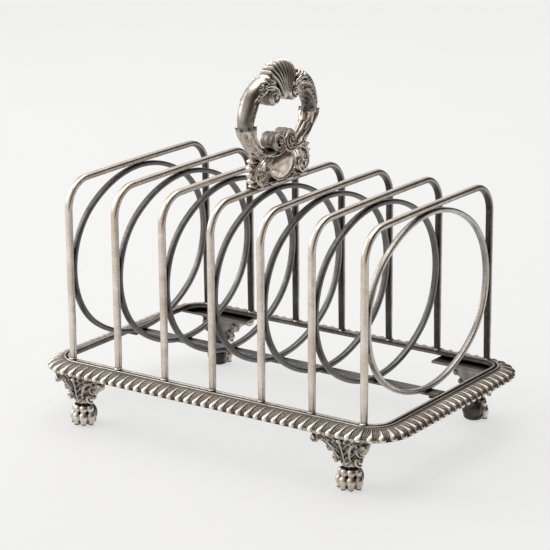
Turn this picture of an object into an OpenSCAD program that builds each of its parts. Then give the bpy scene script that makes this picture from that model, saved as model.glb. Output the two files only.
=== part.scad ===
// Toast rack for six slices, millimetres, +Z up.
// Seven wire hoops, each with an oval ring inside it, stand across an open gadrooned frame on four paw feet.
// A ring handle stands on the middle hoop. The origin is on the table, under the centre of the rack.

/* [Frame] */

// Length of the frame along X, over the gadroon border
frame_l = 176.4; // [160:0.2:200]

// Width of the frame along Y, over the gadroon border
frame_w = 112.8; // [106:0.2:124]

// Height of the top of the frame above the table
frame_z = 27.5; // [25:0.5:32]

// Radius of the frame opening at its corners
inner_r = 8; // [6:0.5:12]

// Spacing of the gadroon lobes along the border
lobe_pitch = 4.25; // [3.8:0.05:5.5]

/* [Wires] */

// Spacing of the hoops along X
hoop_pitch = 24; // [22:0.5:26]

// Height of a hoop above the frame
hoop_h = 76.7; // [68:0.5:90]

// Thickness of the hoop wire along X
hoop_t = 2.9; // [2.2:0.1:3.4]

// Thickness of the hoop wire in the plane of the hoop
hoop_d = 2.5; // [2:0.1:3]

// Bend radius of a hoop at its two top corners, to the middle of the wire
hoop_bend = 12; // [8:0.5:18]

// Thickness of the ring wire along X
ring_t = 2.6; // [2:0.1:3.2]

// Thickness of the ring wire in the plane of the ring
ring_d = 2.1; // [1.6:0.1:2.6]

// Width of the centre strip under the rings
strip_w = 5.5; // [4:0.5:8]

// Thickness of the centre strip
strip_t = 1.7; // [1.4:0.1:2.4]

/* [Handle] */

// Height of the handle above the hoop it stands on
handle_h = 49.5; // [46:0.5:60]

// Outside width of the handle ring along Y
handle_w = 53; // [46:0.5:60]

// Diameter of the handle ring's rod
handle_rod = 6.7; // [5:0.1:7.6]

/* [Feet] */

// Distance of each paw from the middle along X
foot_x = 66.8; // [60:0.2:72]

// Distance of each paw from the middle along Y
foot_y = 47; // [44:0.2:50]

/* [Hidden] */

gap = 0.02; // play left between two soldered faces
rail_w = 10; // width of the whole border, from the opening to the outer edge
in_x = frame_l / 2 - rail_w; // half the opening along X
in_y = frame_w / 2 - rail_w; // half the opening along Y
cen_x = in_x - inner_r; // centres of the corner curves
cen_y = in_y - inner_r;
outer_r = inner_r + rail_w;

leg_y = in_y + 0.9; // middle of a leg, over the bead
leg_in = leg_y - hoop_d / 2; // inner face of a leg
seat_d = 0.5; // depth of the flat seat under a leg
seat_r = 1.95;
tenon_r = 0.7;
tenon_l = 1.3;

strip_top = frame_z + 0.1;
lap_t = 0.95; // thickness of the stepped ends of the strip
ring_ry = leg_in - 0.03; // outside half width of a ring
ring_rz = (frame_z + hoop_h - hoop_d - strip_top) / 2 - 0.03; // outside half height of a ring
ring_cz = strip_top + 0.03 + ring_rz; // height of the ring centres

bar_top = frame_z + hoop_h; // top of the hoops
silver = [0.80, 0.77, 0.72];
pale = [0.86, 0.83, 0.78];
dark = [0.62, 0.59, 0.55];

// ---------- profiles ----------

// rectangle with rounded corners, centred
module soft_rect(w, h, r) {
    square([w - 2 * r, h], center = true);
    square([w, h - 2 * r], center = true);
    for (i = [-1, 1], j = [-1, 1]) translate([i * (w / 2 - r), j * (h / 2 - r)]) circle(r, $fn = 24);
}

// section of the base frame: x runs outward from the opening, y is the height from the frame's top
module rail_section() {
    translate([0.8, -0.8]) circle(0.8, $fn = 24);
    polygon([[0, -2.5], [0, -0.8], [1.6, -1.1], [2.3, -1.1], [2.5, -0.5], [3.2, -0.4], [3.7, -0.75], [4.7, -0.85],
        [4.7, -2.1], [7.2, -3.05], [7.2, -3.8], [4, -3.8], [3.2, -2.5]]);
}

// section of the applied gadroon border
module border_section() {
    polygon([[4.73, -2.05], [4.73, -1], [5.6, -1.05], [7, -1.55], [8.3, -2.3], [9.3, -3.1], [9.3, -3.8], [7.23, -3.8],
        [7.23, -3]]);
}

// straight run of a section along +X, starting at the origin, outward along +Y
module run(len) {
    rotate([90, 0, 90]) linear_extrude(height = len) children();
}

// ---------- frame ----------

module rail_long(s) { // s is the side: 1 back, -1 front
    translate([s > 0 ? cen_x : -cen_x, s * in_y, frame_z]) rotate([0, 0, s > 0 ? 180 : 0])
        mirror([0, 1, 0]) run(2 * cen_x) children();
}

module rail_short(s) { // s is the side: 1 right, -1 left
    translate([s * in_x, s > 0 ? -cen_y : cen_y, frame_z]) rotate([0, 0, s > 0 ? 90 : -90])
        mirror([0, 1, 0]) run(2 * cen_y) children();
}

// the part of a corner curve from angle a, over the given sweep
module rail_corner(i, j, a, sweep) {
    translate([i * cen_x, j * cen_y, frame_z]) rotate([0, 0, a]) rotate_extrude(angle = sweep, $fn = 96)
        translate([inner_r, 0]) children();
}

module base_frame() color(silver) difference() {
    union() {
        for (s = [-1, 1]) {
            rail_long(s) rail_section();
            rail_short(s) rail_section();
        }
        rail_corner(1, 1, 0, 90) rail_section();
        rail_corner(-1, 1, 90, 90) rail_section();
        rail_corner(-1, -1, 180, 90) rail_section();
        rail_corner(1, -1, 270, 90) rail_section();
    }
    // flat seats and holes for the hoop tenons
    for (k = [-3 : 3], s = [-1, 1]) translate([k * hoop_pitch, s * leg_y, frame_z]) {
        translate([0, 0, -seat_d]) cylinder(r = seat_r + 0.05, h = 3, $fn = 32);
        translate([0, 0, -4]) cylinder(r = tenon_r + 0.05, h = 5, $fn = 24);
    }
    // laps for the ends of the centre strip
    for (s = [-1, 1]) translate([s * (in_x + 2.2), 0, frame_z - 1.5 - lap_t]) cube([4.5, strip_w + 0.1, 2 * lap_t], center = true);
    // holes for the studs of the feet
    for (i = [-1, 1], j = [-1, 1]) translate([i * foot_x, j * (in_y + 5.4), frame_z - 5]) cylinder(r = 0.85, h = 2.4, $fn = 32);
}

// one gadroon lobe lying across the border: the fat end outward along +Y, leaning along X
module lobe(lean) {
    v = [lean, -3.1, 1.35];
    translate([0, 8.75, -2.5]) {
        rotate([0, acos(v[2] / norm(v)), atan2(v[1], v[0])]) cylinder(h = norm(v), r1 = 1.2, r2 = 0.8, $fn = 20);
        sphere(r = 1.25, $fn = 20);
    }
}

// lobes of a straight run of the given length, one of them over each end
module lobe_row(len, lean) {
    n = floor(len / lobe_pitch + 0.5);
    for (k = [0 : n]) translate([k * len / n, 0, 0]) lobe(k == 0 || k == n ? lean / 2 : lean);
}

// lobes round half a corner curve, on the side of angle a
module corner_lobes(i, j, a, way) {
    for (k = [1 : 3]) translate([i * cen_x, j * cen_y, frame_z]) rotate([0, 0, a + way * 90 * k / 7 - 90])
        translate([0, inner_r, 0]) lobe(0);
}

module long_border() union() {
    rail_long(-1) border_section();
    rail_corner(-1, -1, 225.1, 44.9) border_section();
    rail_corner(1, -1, 270, 44.9) border_section();
    translate([-cen_x, -in_y, frame_z]) mirror([0, 1, 0]) lobe_row(2 * cen_x, 1.5);
    corner_lobes(-1, -1, 270, -1);
    corner_lobes(1, -1, 270, 1);
}

module short_border() union() {
    rail_short(1) border_section();
    rail_corner(1, -1, 315.1, 44.9) border_section();
    rail_corner(1, 1, 0, 44.9) border_section();
    translate([in_x, -cen_y, frame_z]) rotate([0, 0, 90]) mirror([0, 1, 0]) lobe_row(2 * cen_y, -1.5);
    corner_lobes(1, -1, 360, -1);
    corner_lobes(1, 1, 0, 1);
}

module gadroon_front() color(pale) long_border();
module gadroon_back() color(pale) mirror([0, 1, 0]) long_border();
module gadroon_right() color(pale) short_border();
module gadroon_left() color(pale) mirror([1, 0, 0]) short_border();

// flat strip that carries the rings, with stepped ends lapped under the frame
module centre_strip() color(silver) union() {
    translate([0, 0, strip_top - strip_t / 2]) cube([2 * in_x - 2 * gap, strip_w, strip_t], center = true);
    for (s = [-1, 1]) translate([s * in_x, 0, frame_z - 1.5 - gap - lap_t / 2]) cube([8.4, strip_w, lap_t], center = true);
}

// ---------- hoops and rings ----------

module hoop(k) color(silver) translate([(k - 4) * hoop_pitch, 0, frame_z]) {
    mid_h = hoop_h - hoop_d / 2; // middle of the top bar
    for (s = [-1, 1]) {
        // leg
        translate([0, s * leg_y, 0.5]) linear_extrude(height = mid_h - hoop_bend - 0.5) soft_rect(hoop_t, hoop_d, 0.9);
        // shoulder and tenon
        translate([0, s * leg_y, -seat_d + gap]) {
            cylinder(r = seat_r, h = 0.9, $fn = 32);
            translate([0, 0, 0.9]) cylinder(r1 = seat_r, r2 = 1.2, h = 0.9, $fn = 32);
            translate([0, 0, -tenon_l]) cylinder(r = tenon_r, h = tenon_l + 0.2, $fn = 24);
        }
        // bend
        translate([0, s * (leg_y - hoop_bend), mid_h - hoop_bend]) rotate([0, 0, s > 0 ? 90 : -90]) rotate([90, 0, 0])
            rotate_extrude(angle = 90, $fn = 64) translate([hoop_bend, 0]) soft_rect(hoop_d, hoop_t, 0.9);
    }
    // top bar
    translate([0, -(leg_y - hoop_bend), mid_h]) rotate([-90, 0, 0]) linear_extrude(height = 2 * (leg_y - hoop_bend))
        soft_rect(hoop_t, hoop_d, 0.9);
}

// an oval drawn with four tangent arcs: c and d place the arc centres
ring_a = ring_ry - ring_d / 2; // half width to the middle of the wire
ring_b = ring_rz - ring_d / 2;
ring_c = 12.5 * (ring_a - ring_b) / 8.45; // centre of the side arcs
ring_k = ring_c - (ring_a - ring_b);
ring_e = (ring_c * ring_c - ring_k * ring_k) / (2 * ring_k); // centre of the top and bottom arcs
ring_t1 = atan2(ring_c, ring_e); // half the sweep of the top arc

module arc_wire(r, a, sweep) { // in the YZ plane, angles from +Y towards +Z
    rotate([90, 0, 90]) rotate([0, 0, a]) rotate_extrude(angle = sweep, $fn = 128) translate([r, 0])
        soft_rect(ring_d, ring_t, 0.7);
}

module ring(k) color(dark) translate([(k - 4) * hoop_pitch, 0, ring_cz]) {
    translate([0, ring_c, 0]) arc_wire(ring_a - ring_c, -(90 - ring_t1), 2 * (90 - ring_t1));
    translate([0, -ring_c, 0]) arc_wire(ring_a - ring_c, 90 + ring_t1, 2 * (90 - ring_t1));
    translate([0, 0, -ring_e]) arc_wire(ring_b + ring_e, 90 - ring_t1, 2 * ring_t1);
    translate([0, 0, ring_e]) arc_wire(ring_b + ring_e, 270 - ring_t1, 2 * ring_t1);
}

module hoop_1() hoop(1);
module hoop_2() hoop(2);
module hoop_3() hoop(3);
module hoop_4() hoop(4);
module hoop_5() hoop(5);
module hoop_6() hoop(6);
module hoop_7() hoop(7);
module ring_1() ring(1);
module ring_2() ring(2);
module ring_3() ring(3);
module ring_4() ring(4);
module ring_5() ring(5);
module ring_6() ring(6);
module ring_7() ring(7);

// ---------- feet ----------

// front right foot; the others are its mirror images. The toes point along -Y.
module foot() {
    plate_z = frame_z - 3.8 - gap; // top of the plate, under the frame
    translate([foot_x, -foot_y, 0]) {
        // plate under the border, rounded to follow the frame's corner
        translate([0, 0, plate_z - 1.2]) linear_extrude(height = 1.2) intersection() {
            translate([-18.6, -8.6]) square([34.4, 13.6]);
            union() {
                translate([cen_x - foot_x, foot_y - cen_y]) circle(outer_r - 0.8, $fn = 96);
                translate([-18.6, -8.6]) square([18.6 + cen_x - foot_x, 13.6]);
            }
        }
        // stud into the frame
        translate([0, foot_y - in_y - 5.4, plate_z - 0.5]) cylinder(r = 0.8, h = 1.5, $fn = 32);
        // knee: a leaf bracket narrowing to the ankle, with a curl at each side
        hull() {
            translate([-15.6, -7, plate_z - 1.5]) cube([28, 9.6, 0.5]);
            translate([-0.5, -1, 11.6]) cylinder(r = 4.5, h = 0.4, $fn = 32);
        }
        for (s = [-1, 1]) translate([-1.5 + s * 11.4, -6, plate_z - 3.4]) rotate([90, 0, 0]) cylinder(r = 2.3, h = 3.6, center = true, $fn = 32);
        translate([-0.5, -4.4, 15.4]) rotate([14, 0, 0]) cylinder(r1 = 2.2, r2 = 3.4, h = 7.4, $fn = 32);
        // ankle with its ring
        translate([-0.5, -1, 8]) cylinder(r = 4.3, h = 4.5, $fn = 40);
        translate([-0.5, -1, 11]) rotate_extrude($fn = 48) translate([4.2, 0]) circle(0.8, $fn = 20);
        // paw: pad and four toes with two knuckles each
        intersection() {
            translate([-8, -9, 0]) cube([15, 14, 11]);
            union() {
                translate([-0.5, -0.8, 4.9]) sphere(r = 5.1, $fn = 40);
                translate([-0.5, -0.8, 0]) cylinder(r = 4.6, h = 4, $fn = 40);
                for (k = [-1.5 : 1 : 1.5]) translate([-0.5 + 2.75 * k, -3 + 0.45 * k * k, 0]) {
                    translate([0, -1.5, 2.3]) sphere(r = 2.1, $fn = 28);
                    translate([0, -0.6, 5.6]) sphere(r = 1.9, $fn = 28);
                    translate([0, -1.5, 0]) cylinder(r = 1.5, h = 2.4, $fn = 28);
                }
            }
        }
    }
}

module foot_front_right() color(dark) union() foot();
module foot_front_left() color(dark) mirror([1, 0, 0]) union() foot();
module foot_back_right() color(dark) mirror([0, 1, 0]) union() foot();
module foot_back_left() color(dark) mirror([1, 0, 0]) mirror([0, 1, 0]) union() foot();

// ---------- handle ----------

base_h = handle_h * 0.28; // height of the bracket above the hoop
peg_y = 5.2;
ring_low = bar_top + base_h; // where the ring stands on the bracket
cart_z = bar_top + base_h / 2 - 0.1; // middle of the cartouche
hr_a = (handle_w - handle_rod) / 2; // half width of the ring to the middle of the rod
hr_b = (handle_h - base_h - handle_rod) / 2 + 0.4; // half height
hr_z = bar_top + handle_h - handle_rod / 2 - hr_b; // centre of the ring

// flat shape standing in the plane of the handle: its x lies along Y, its y along Z
module upright(t) rotate([90, 0, 90]) linear_extrude(height = t, center = true) children();

module disc(r, t, y, z) translate([0, y, z]) rotate([0, 90, 0]) cylinder(r = r, h = t, center = true, $fn = 48);

// part of a round rod bent to an arc, standing in the plane of the handle
module rod_arc(r, w, a, sweep) rotate([90, 0, 90]) rotate([0, 0, a]) rotate_extrude(angle = sweep, $fn = 96)
    translate([r, 0]) circle(w, $fn = 32);

// bracket: a cartouche with pierced scrolls on both sides, saddled over the hoop's top bar
module handle_bracket() color(pale) difference() {
    union() {
        translate([0, 0, bar_top]) upright(3.6) difference() {
            union() {
                translate([0, cart_z - bar_top]) circle(base_h / 2 - 0.2, $fn = 64);
                translate([-20, -1]) square([40, 2.8]);
                translate([-9, base_h - 2.6]) square([18, 2.6 - gap]);
                for (s = [-1, 1]) {
                    translate([s * 12.4, 6.6]) circle(5.6, $fn = 48);
                    translate([s * 17.6, 4]) circle(3.4, $fn = 48);
                    translate([s * 17.2, 9.8]) circle(2.6, $fn = 48);
                }
            }
            for (s = [-1, 1]) translate([s * 13, 7.4]) circle(2.7, $fn = 40);
        }
        // domed cartouche with a rim, on both faces
        for (s = [-1, 1]) translate([0, 0, cart_z]) rotate([0, s * 90, 0]) {
            translate([0, 0, 1.6]) cylinder(r1 = base_h / 2 - 0.9, r2 = base_h / 2 - 1.5, h = 0.8, $fn = 64);
            translate([0, 0, 2.3]) cylinder(r1 = base_h / 2 - 1.5, r2 = 3.4, h = 0.6, $fn = 64);
        }
        // curls
        for (s = [-1, 1]) {
            disc(2.3, 6.4, s * 17.8, bar_top + 4);
            disc(1.8, 5.6, s * 17.4, bar_top + 10);
            disc(1.9, 6, s * 9, bar_top + 3.2);
        }
        // cheeks beside the bar, and the cap that carries the ring
        translate([0, 0, bar_top]) cube([4.6, 38, 2.4], center = true);
        translate([0, 0, ring_low - 1.3 - gap]) cube([5.6, 17, 2.6], center = true);
    }
    // groove over the top bar
    translate([0, 0, bar_top + gap - 2]) cube([hoop_t + 0.06, 60, 4], center = true);
    // holes for the pegs of the ring
    for (s = [-1, 1]) translate([0, s * peg_y, ring_low - 4.6]) cylinder(r = 1.05, h = 6, $fn = 32);
}

// four-arc oval for the ring
hr_c = (hr_a - hr_b) * 1.55;
hr_k = hr_c - (hr_a - hr_b);
hr_e = (hr_c * hr_c - hr_k * hr_k) / (2 * hr_k);
hr_t = atan2(hr_c, hr_e);

// cast ring with leaf collars, a shell at the top and two pegs underneath
module handle_ring() color(pale) union() {
    difference() {
        union() {
            translate([0, 0, hr_z]) {
                for (j = [-1, 1]) translate([0, 0, j * hr_e]) rod_arc(hr_b + hr_e, handle_rod / 2, (j < 0 ? 90 : 270) - hr_t, 2 * hr_t);
                for (s = [0, 1]) mirror([0, s, 0]) translate([0, hr_c, 0]) rod_arc(hr_a - hr_c, handle_rod / 2, hr_t - 90, 180 - 2 * hr_t);
                // bands over the meeting points of the arcs
                for (i = [-1, 1], j = [-1, 1]) translate([0, i * (hr_b + hr_e) * sin(hr_t), j * ((hr_b + hr_e) * cos(hr_t) - hr_e)])
                    rotate([-i * j * (90 + hr_t) , 0, 0]) cylinder(r = handle_rod / 2 + 0.12, h = 1.6, center = true, $fn = 48);
                // leaf collars
                for (s = [-1, 1]) translate([0, s * hr_a, -1.5]) cylinder(r1 = handle_rod / 2 - 0.3, r2 = handle_rod / 2 + 0.9, h = 3, $fn = 48);
                // scalloped shell at the top, with a curl at each side
                translate([0, 0, hr_b - 9]) upright(handle_rod + 1.4) {
                    intersection() {
                        circle(12.2, $fn = 64);
                        polygon([[0, 0], [-12, 13.5], [12, 13.5]]);
                    }
                    for (i = [-2 : 2]) rotate(i * 16) translate([0, 11.4]) circle(1.75, $fn = 32);
                    circle(1.6, $fn = 32);
                }
                for (s = [-1, 1]) disc(3.4, handle_rod + 0.6, s * 9, hr_b - 4);
            }
            // volutes where the ring closes
            for (s = [-1, 1]) disc(4.4, handle_rod + 1, s * 4.1, ring_low + 2.7);
        }
        translate([0, 0, ring_low - 10]) cube([30, 80, 20], center = true);
    }
    for (s = [-1, 1]) translate([0, s * peg_y, ring_low - 4]) cylinder(r = 1, h = 6, $fn = 32);
}

base_frame();
gadroon_front();
gadroon_back();
gadroon_left();
gadroon_right();
centre_strip();
hoop_1();
hoop_2();
hoop_3();
hoop_4();
hoop_5();
hoop_6();
hoop_7();
ring_1();
ring_2();
ring_3();
ring_4();
ring_5();
ring_6();
ring_7();
foot_front_left();
foot_front_right();
foot_back_left();
foot_back_right();
handle_bracket();
handle_ring();
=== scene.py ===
"""An aged silver rack: seven wire hoops with an oval ring in each, on a rectangular frame with a
gadroon border, four paw feet and a ring handle on a scroll bracket.

The table is z = 0. The rack is long in X; hoops and rings lie in YZ planes, one after another
along X. The front faces -Y and the right end +X. Shapes are in millimetres, scaled by MM when
they become meshes; floor, lights and camera are in metres unless a name says otherwise.

A "part" is a pair (vertices, faces). "Tarnish" is a value per vertex, high where it is dark;
besides real tarnish it carries painted shade and painted reflection in places.
"""
import math

import bmesh
import bpy
import numpy as np
from mathutils import Matrix, Vector


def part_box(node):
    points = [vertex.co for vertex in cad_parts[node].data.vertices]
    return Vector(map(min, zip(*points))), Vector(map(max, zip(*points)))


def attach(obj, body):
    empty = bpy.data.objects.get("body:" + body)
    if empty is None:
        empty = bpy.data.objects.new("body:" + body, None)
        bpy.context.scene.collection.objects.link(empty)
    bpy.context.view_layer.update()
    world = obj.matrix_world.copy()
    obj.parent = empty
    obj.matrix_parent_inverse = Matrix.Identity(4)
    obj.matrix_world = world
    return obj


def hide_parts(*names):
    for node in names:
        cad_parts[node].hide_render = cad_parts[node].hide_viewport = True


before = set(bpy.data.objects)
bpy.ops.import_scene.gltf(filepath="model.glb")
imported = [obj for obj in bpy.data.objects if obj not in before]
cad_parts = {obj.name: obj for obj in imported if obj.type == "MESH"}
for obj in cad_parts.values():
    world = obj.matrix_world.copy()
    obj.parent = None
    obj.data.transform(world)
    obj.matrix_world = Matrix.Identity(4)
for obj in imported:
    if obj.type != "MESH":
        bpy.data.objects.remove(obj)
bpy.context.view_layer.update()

MM = 0.001


def mm_box(node):
    """Low and high corners of a CAD piece, in millimetres."""
    return [(np.array(corner) / MM).tolist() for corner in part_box(node)]


# ---------------------------------------------------------------- sizes read from the CAD frame
FRAME_TOP = mm_box("base_frame")[1][2]
RING_LOW, RING_HIGH = mm_box("ring_4")
HOOP_HIGH = mm_box("hoop_4")[1]
LEG_Y = HOOP_HIGH[1] - 1.95             # middle of a leg
BAR_TOP = HOOP_HIGH[2]                  # top of the hoops' level bars
HOOP_BOXES = [mm_box(f"hoop_{k}") for k in range(1, 8)]
HOOP_X = [(low[0] + high[0]) / 2 for low, high in HOOP_BOXES]
RING_HALF_Y = RING_HIGH[1]
RING_HALF_Z = (RING_HIGH[2] - RING_LOW[2]) / 2
RING_MID_Z = (RING_HIGH[2] + RING_LOW[2]) / 2
STRIP_HIGH = mm_box("centre_strip")[1]
HANDLE_TOP = mm_box("handle_ring")[1][2]

BORDER_REACH = 10.0                     # inner edge of the frame to the outside of the border
IN_X = mm_box("gadroon_right")[1][0] - BORDER_REACH
IN_Y = -mm_box("gadroon_front")[0][1] - BORDER_REACH
IN_RADIUS = 8.0                         # inner corner radius
CORNER_X = IN_X - IN_RADIUS             # centres of the corner arcs
CORNER_Y = IN_Y - IN_RADIUS


# ---------------------------------------------------------------- mesh tools
def register(ob, cad):
    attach(ob, "root")
    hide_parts(cad)


def set_tarnish_and_shade(mesh, tarnish):
    layer = mesh.attributes.new("tarnish_and_shade", "FLOAT", "POINT")
    layer.data.foreach_set("value", np.asarray(tarnish, np.float32))


def make_piece(name, part, tarnish, material, sharp_angle, cad):
    """Makes a smooth-shaded object with edges over sharp_angle degrees kept sharp."""
    verts, faces = part
    mesh = bpy.data.meshes.new(name)
    mesh.from_pydata([tuple(v) for v in verts * MM], [], faces)
    mesh.validate()
    mesh.update()
    mesh.polygons.foreach_set("use_smooth", [True] * len(mesh.polygons))
    ob = bpy.data.objects.new(name, mesh)
    bpy.context.scene.collection.objects.link(ob)
    mesh.materials.append(material)
    set_tarnish_and_shade(mesh, tarnish)
    bm = bmesh.new()
    bm.from_mesh(mesh)
    for edge in bm.edges:
        if len(edge.link_faces) == 2 and edge.calc_face_angle(0) > math.radians(sharp_angle):
            edge.smooth = False
    bmesh.ops.recalc_face_normals(bm, faces=bm.faces)
    bm.to_mesh(mesh)
    bm.free()
    register(ob, cad)


def grid_faces(rows, cols, close_rows=False, close_cols=False):
    faces = []
    for i in range(rows if close_rows else rows - 1):
        for j in range(cols if close_cols else cols - 1):
            i_next, j_next = (i + 1) % rows, (j + 1) % cols
            faces.append((i * cols + j, i_next * cols + j,
                          i_next * cols + j_next, i * cols + j_next))
    return faces


def end_caps(rows, cols, first_forward=True):
    first = tuple(range(cols))
    last = tuple((rows - 1) * cols + j for j in range(cols))
    return [first, last[::-1]] if first_forward else [first[::-1], last]


def capped_grid(rows, cols, first_forward=True):
    """Faces of a pipe: closed across, a cap on each end."""
    return grid_faces(rows, cols, close_cols=True) + end_caps(rows, cols, first_forward)


def join(parts):
    verts, faces = [], []
    count = 0
    for part_verts, part_faces in parts:
        verts.append(np.asarray(part_verts, float))
        faces += [tuple(i + count for i in face) for face in part_faces]
        count += len(part_verts)
    return np.concatenate(verts), faces


def value_noise(points, seed, scale):
    """Smooth repeatable noise in about -1..1 for an (n, 3) array."""
    points = np.asarray(points, float) / scale
    draw = np.random.default_rng(seed)
    total = np.zeros(len(points))
    for _ in range(5):
        direction = draw.normal(size=3)
        direction /= np.linalg.norm(direction)
        frequency = 0.7 + 0.9 * draw.random()
        total += np.sin((points @ direction) * frequency * 2.0 + draw.random() * 6.28)
    return total / 5.0


def rounded(value, power):
    """Superellipse form of a sine or cosine: power 2 is round, higher is squarer."""
    return math.copysign(abs(value) ** (2 / power), value)


def section(half_x, half_y, outer_power, inner_power, count):
    """Rounded bar section: x across, y from the inner face to the outer face."""
    points = []
    for k in range(count):
        angle = 2 * math.pi * k / count
        c, s = math.cos(angle), math.sin(angle)
        power = outer_power if s > 0 else inner_power
        points.append((half_x * rounded(c, power), half_y * rounded(s, power)))
    return np.array(points)


def sweep_yz(path, normals, outline, scale, x_mid, offset, closed):
    """Sweeps a section along a path in a YZ plane; normals point out of the loop."""
    rows, cols = len(path), len(outline)
    verts = np.zeros((rows, cols, 3))
    for i in range(rows):
        verts[i, :, 0] = x_mid + outline[:, 0] * scale[i]
        verts[i, :, 1] = path[i, 0] + normals[i, 0] * outline[:, 1] * scale[i]
        verts[i, :, 2] = path[i, 1] + normals[i, 1] * outline[:, 1] * scale[i]
    verts += offset[:, None, :]
    if closed:
        faces = grid_faces(rows, cols, True, True)
    else:
        faces = capped_grid(rows, cols, first_forward=False)
    return verts.reshape(-1, 3), faces


def unit_sphere(around, down):
    verts = []
    for i in range(down + 1):
        tilt = math.pi * i / down
        for j in range(around):
            turn = 2 * math.pi * j / around
            verts.append((math.sin(tilt) * math.cos(turn), math.sin(tilt) * math.sin(turn),
                          math.cos(tilt)))
    return np.array(verts), grid_faces(down + 1, around, close_cols=True)


def solder(centre, radii, seed, roughness):
    """A lumpy drop of solder."""
    verts, faces = unit_sphere(28, 16)
    lumps = 1 + roughness * value_noise(verts, seed, 0.55)
    return verts * lumps[:, None] * np.array(radii) + np.array(centre), faces


# ---------------------------------------------------------------- materials
class Shader:
    """Short ways to add nodes to a node tree."""

    def __init__(self, tree):
        self.tree = tree

    def new(self, kind):
        return self.tree.nodes.new(kind)

    def link(self, source, target):
        self.tree.links.new(source, target)

    def fill(self, socket, value):
        if isinstance(value, (int, float)):
            socket.default_value = value
        elif isinstance(value, tuple):
            socket.default_value = (*value, 1.0)
        else:
            self.link(value, socket)

    def calc(self, operation, a, b, clamp=False):
        calc = self.new("ShaderNodeMath")
        calc.operation = operation
        calc.use_clamp = clamp
        self.fill(calc.inputs[0], a)
        self.fill(calc.inputs[1], b)
        return calc.outputs[0]

    def add(self, a, b, clamp=False):
        return self.calc("ADD", a, b, clamp)

    def sub(self, a, b, clamp=False):
        return self.calc("SUBTRACT", a, b, clamp)

    def mul(self, a, b, clamp=False):
        return self.calc("MULTIPLY", a, b, clamp)

    def mix(self, factor, a, b):
        mix = self.new("ShaderNodeMix")
        mix.data_type = "RGBA"
        for index, value in ((0, factor), (6, a), (7, b)):
            self.fill(mix.inputs[index], value)
        return mix.outputs[2]

    def noise(self, vector, scale, detail=3.0, roughness=0.55, distortion=0.0):
        noise = self.new("ShaderNodeTexNoise")
        noise.inputs["Scale"].default_value = scale
        noise.inputs["Detail"].default_value = detail
        noise.inputs["Roughness"].default_value = roughness
        noise.inputs["Distortion"].default_value = distortion
        self.link(vector, noise.inputs["Vector"])
        return noise.outputs["Fac"]

    def ramp(self, factor, low, high):
        """Grey ramp from 0 at low to 1 at high."""
        ramp = self.new("ShaderNodeValToRGB")
        for element, position, grey in zip(ramp.color_ramp.elements, (low, high), (0.0, 1.0)):
            element.position = position
            element.color = (grey, grey, grey, 1)
        self.link(factor, ramp.inputs[0])
        return ramp.outputs[0]


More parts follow.
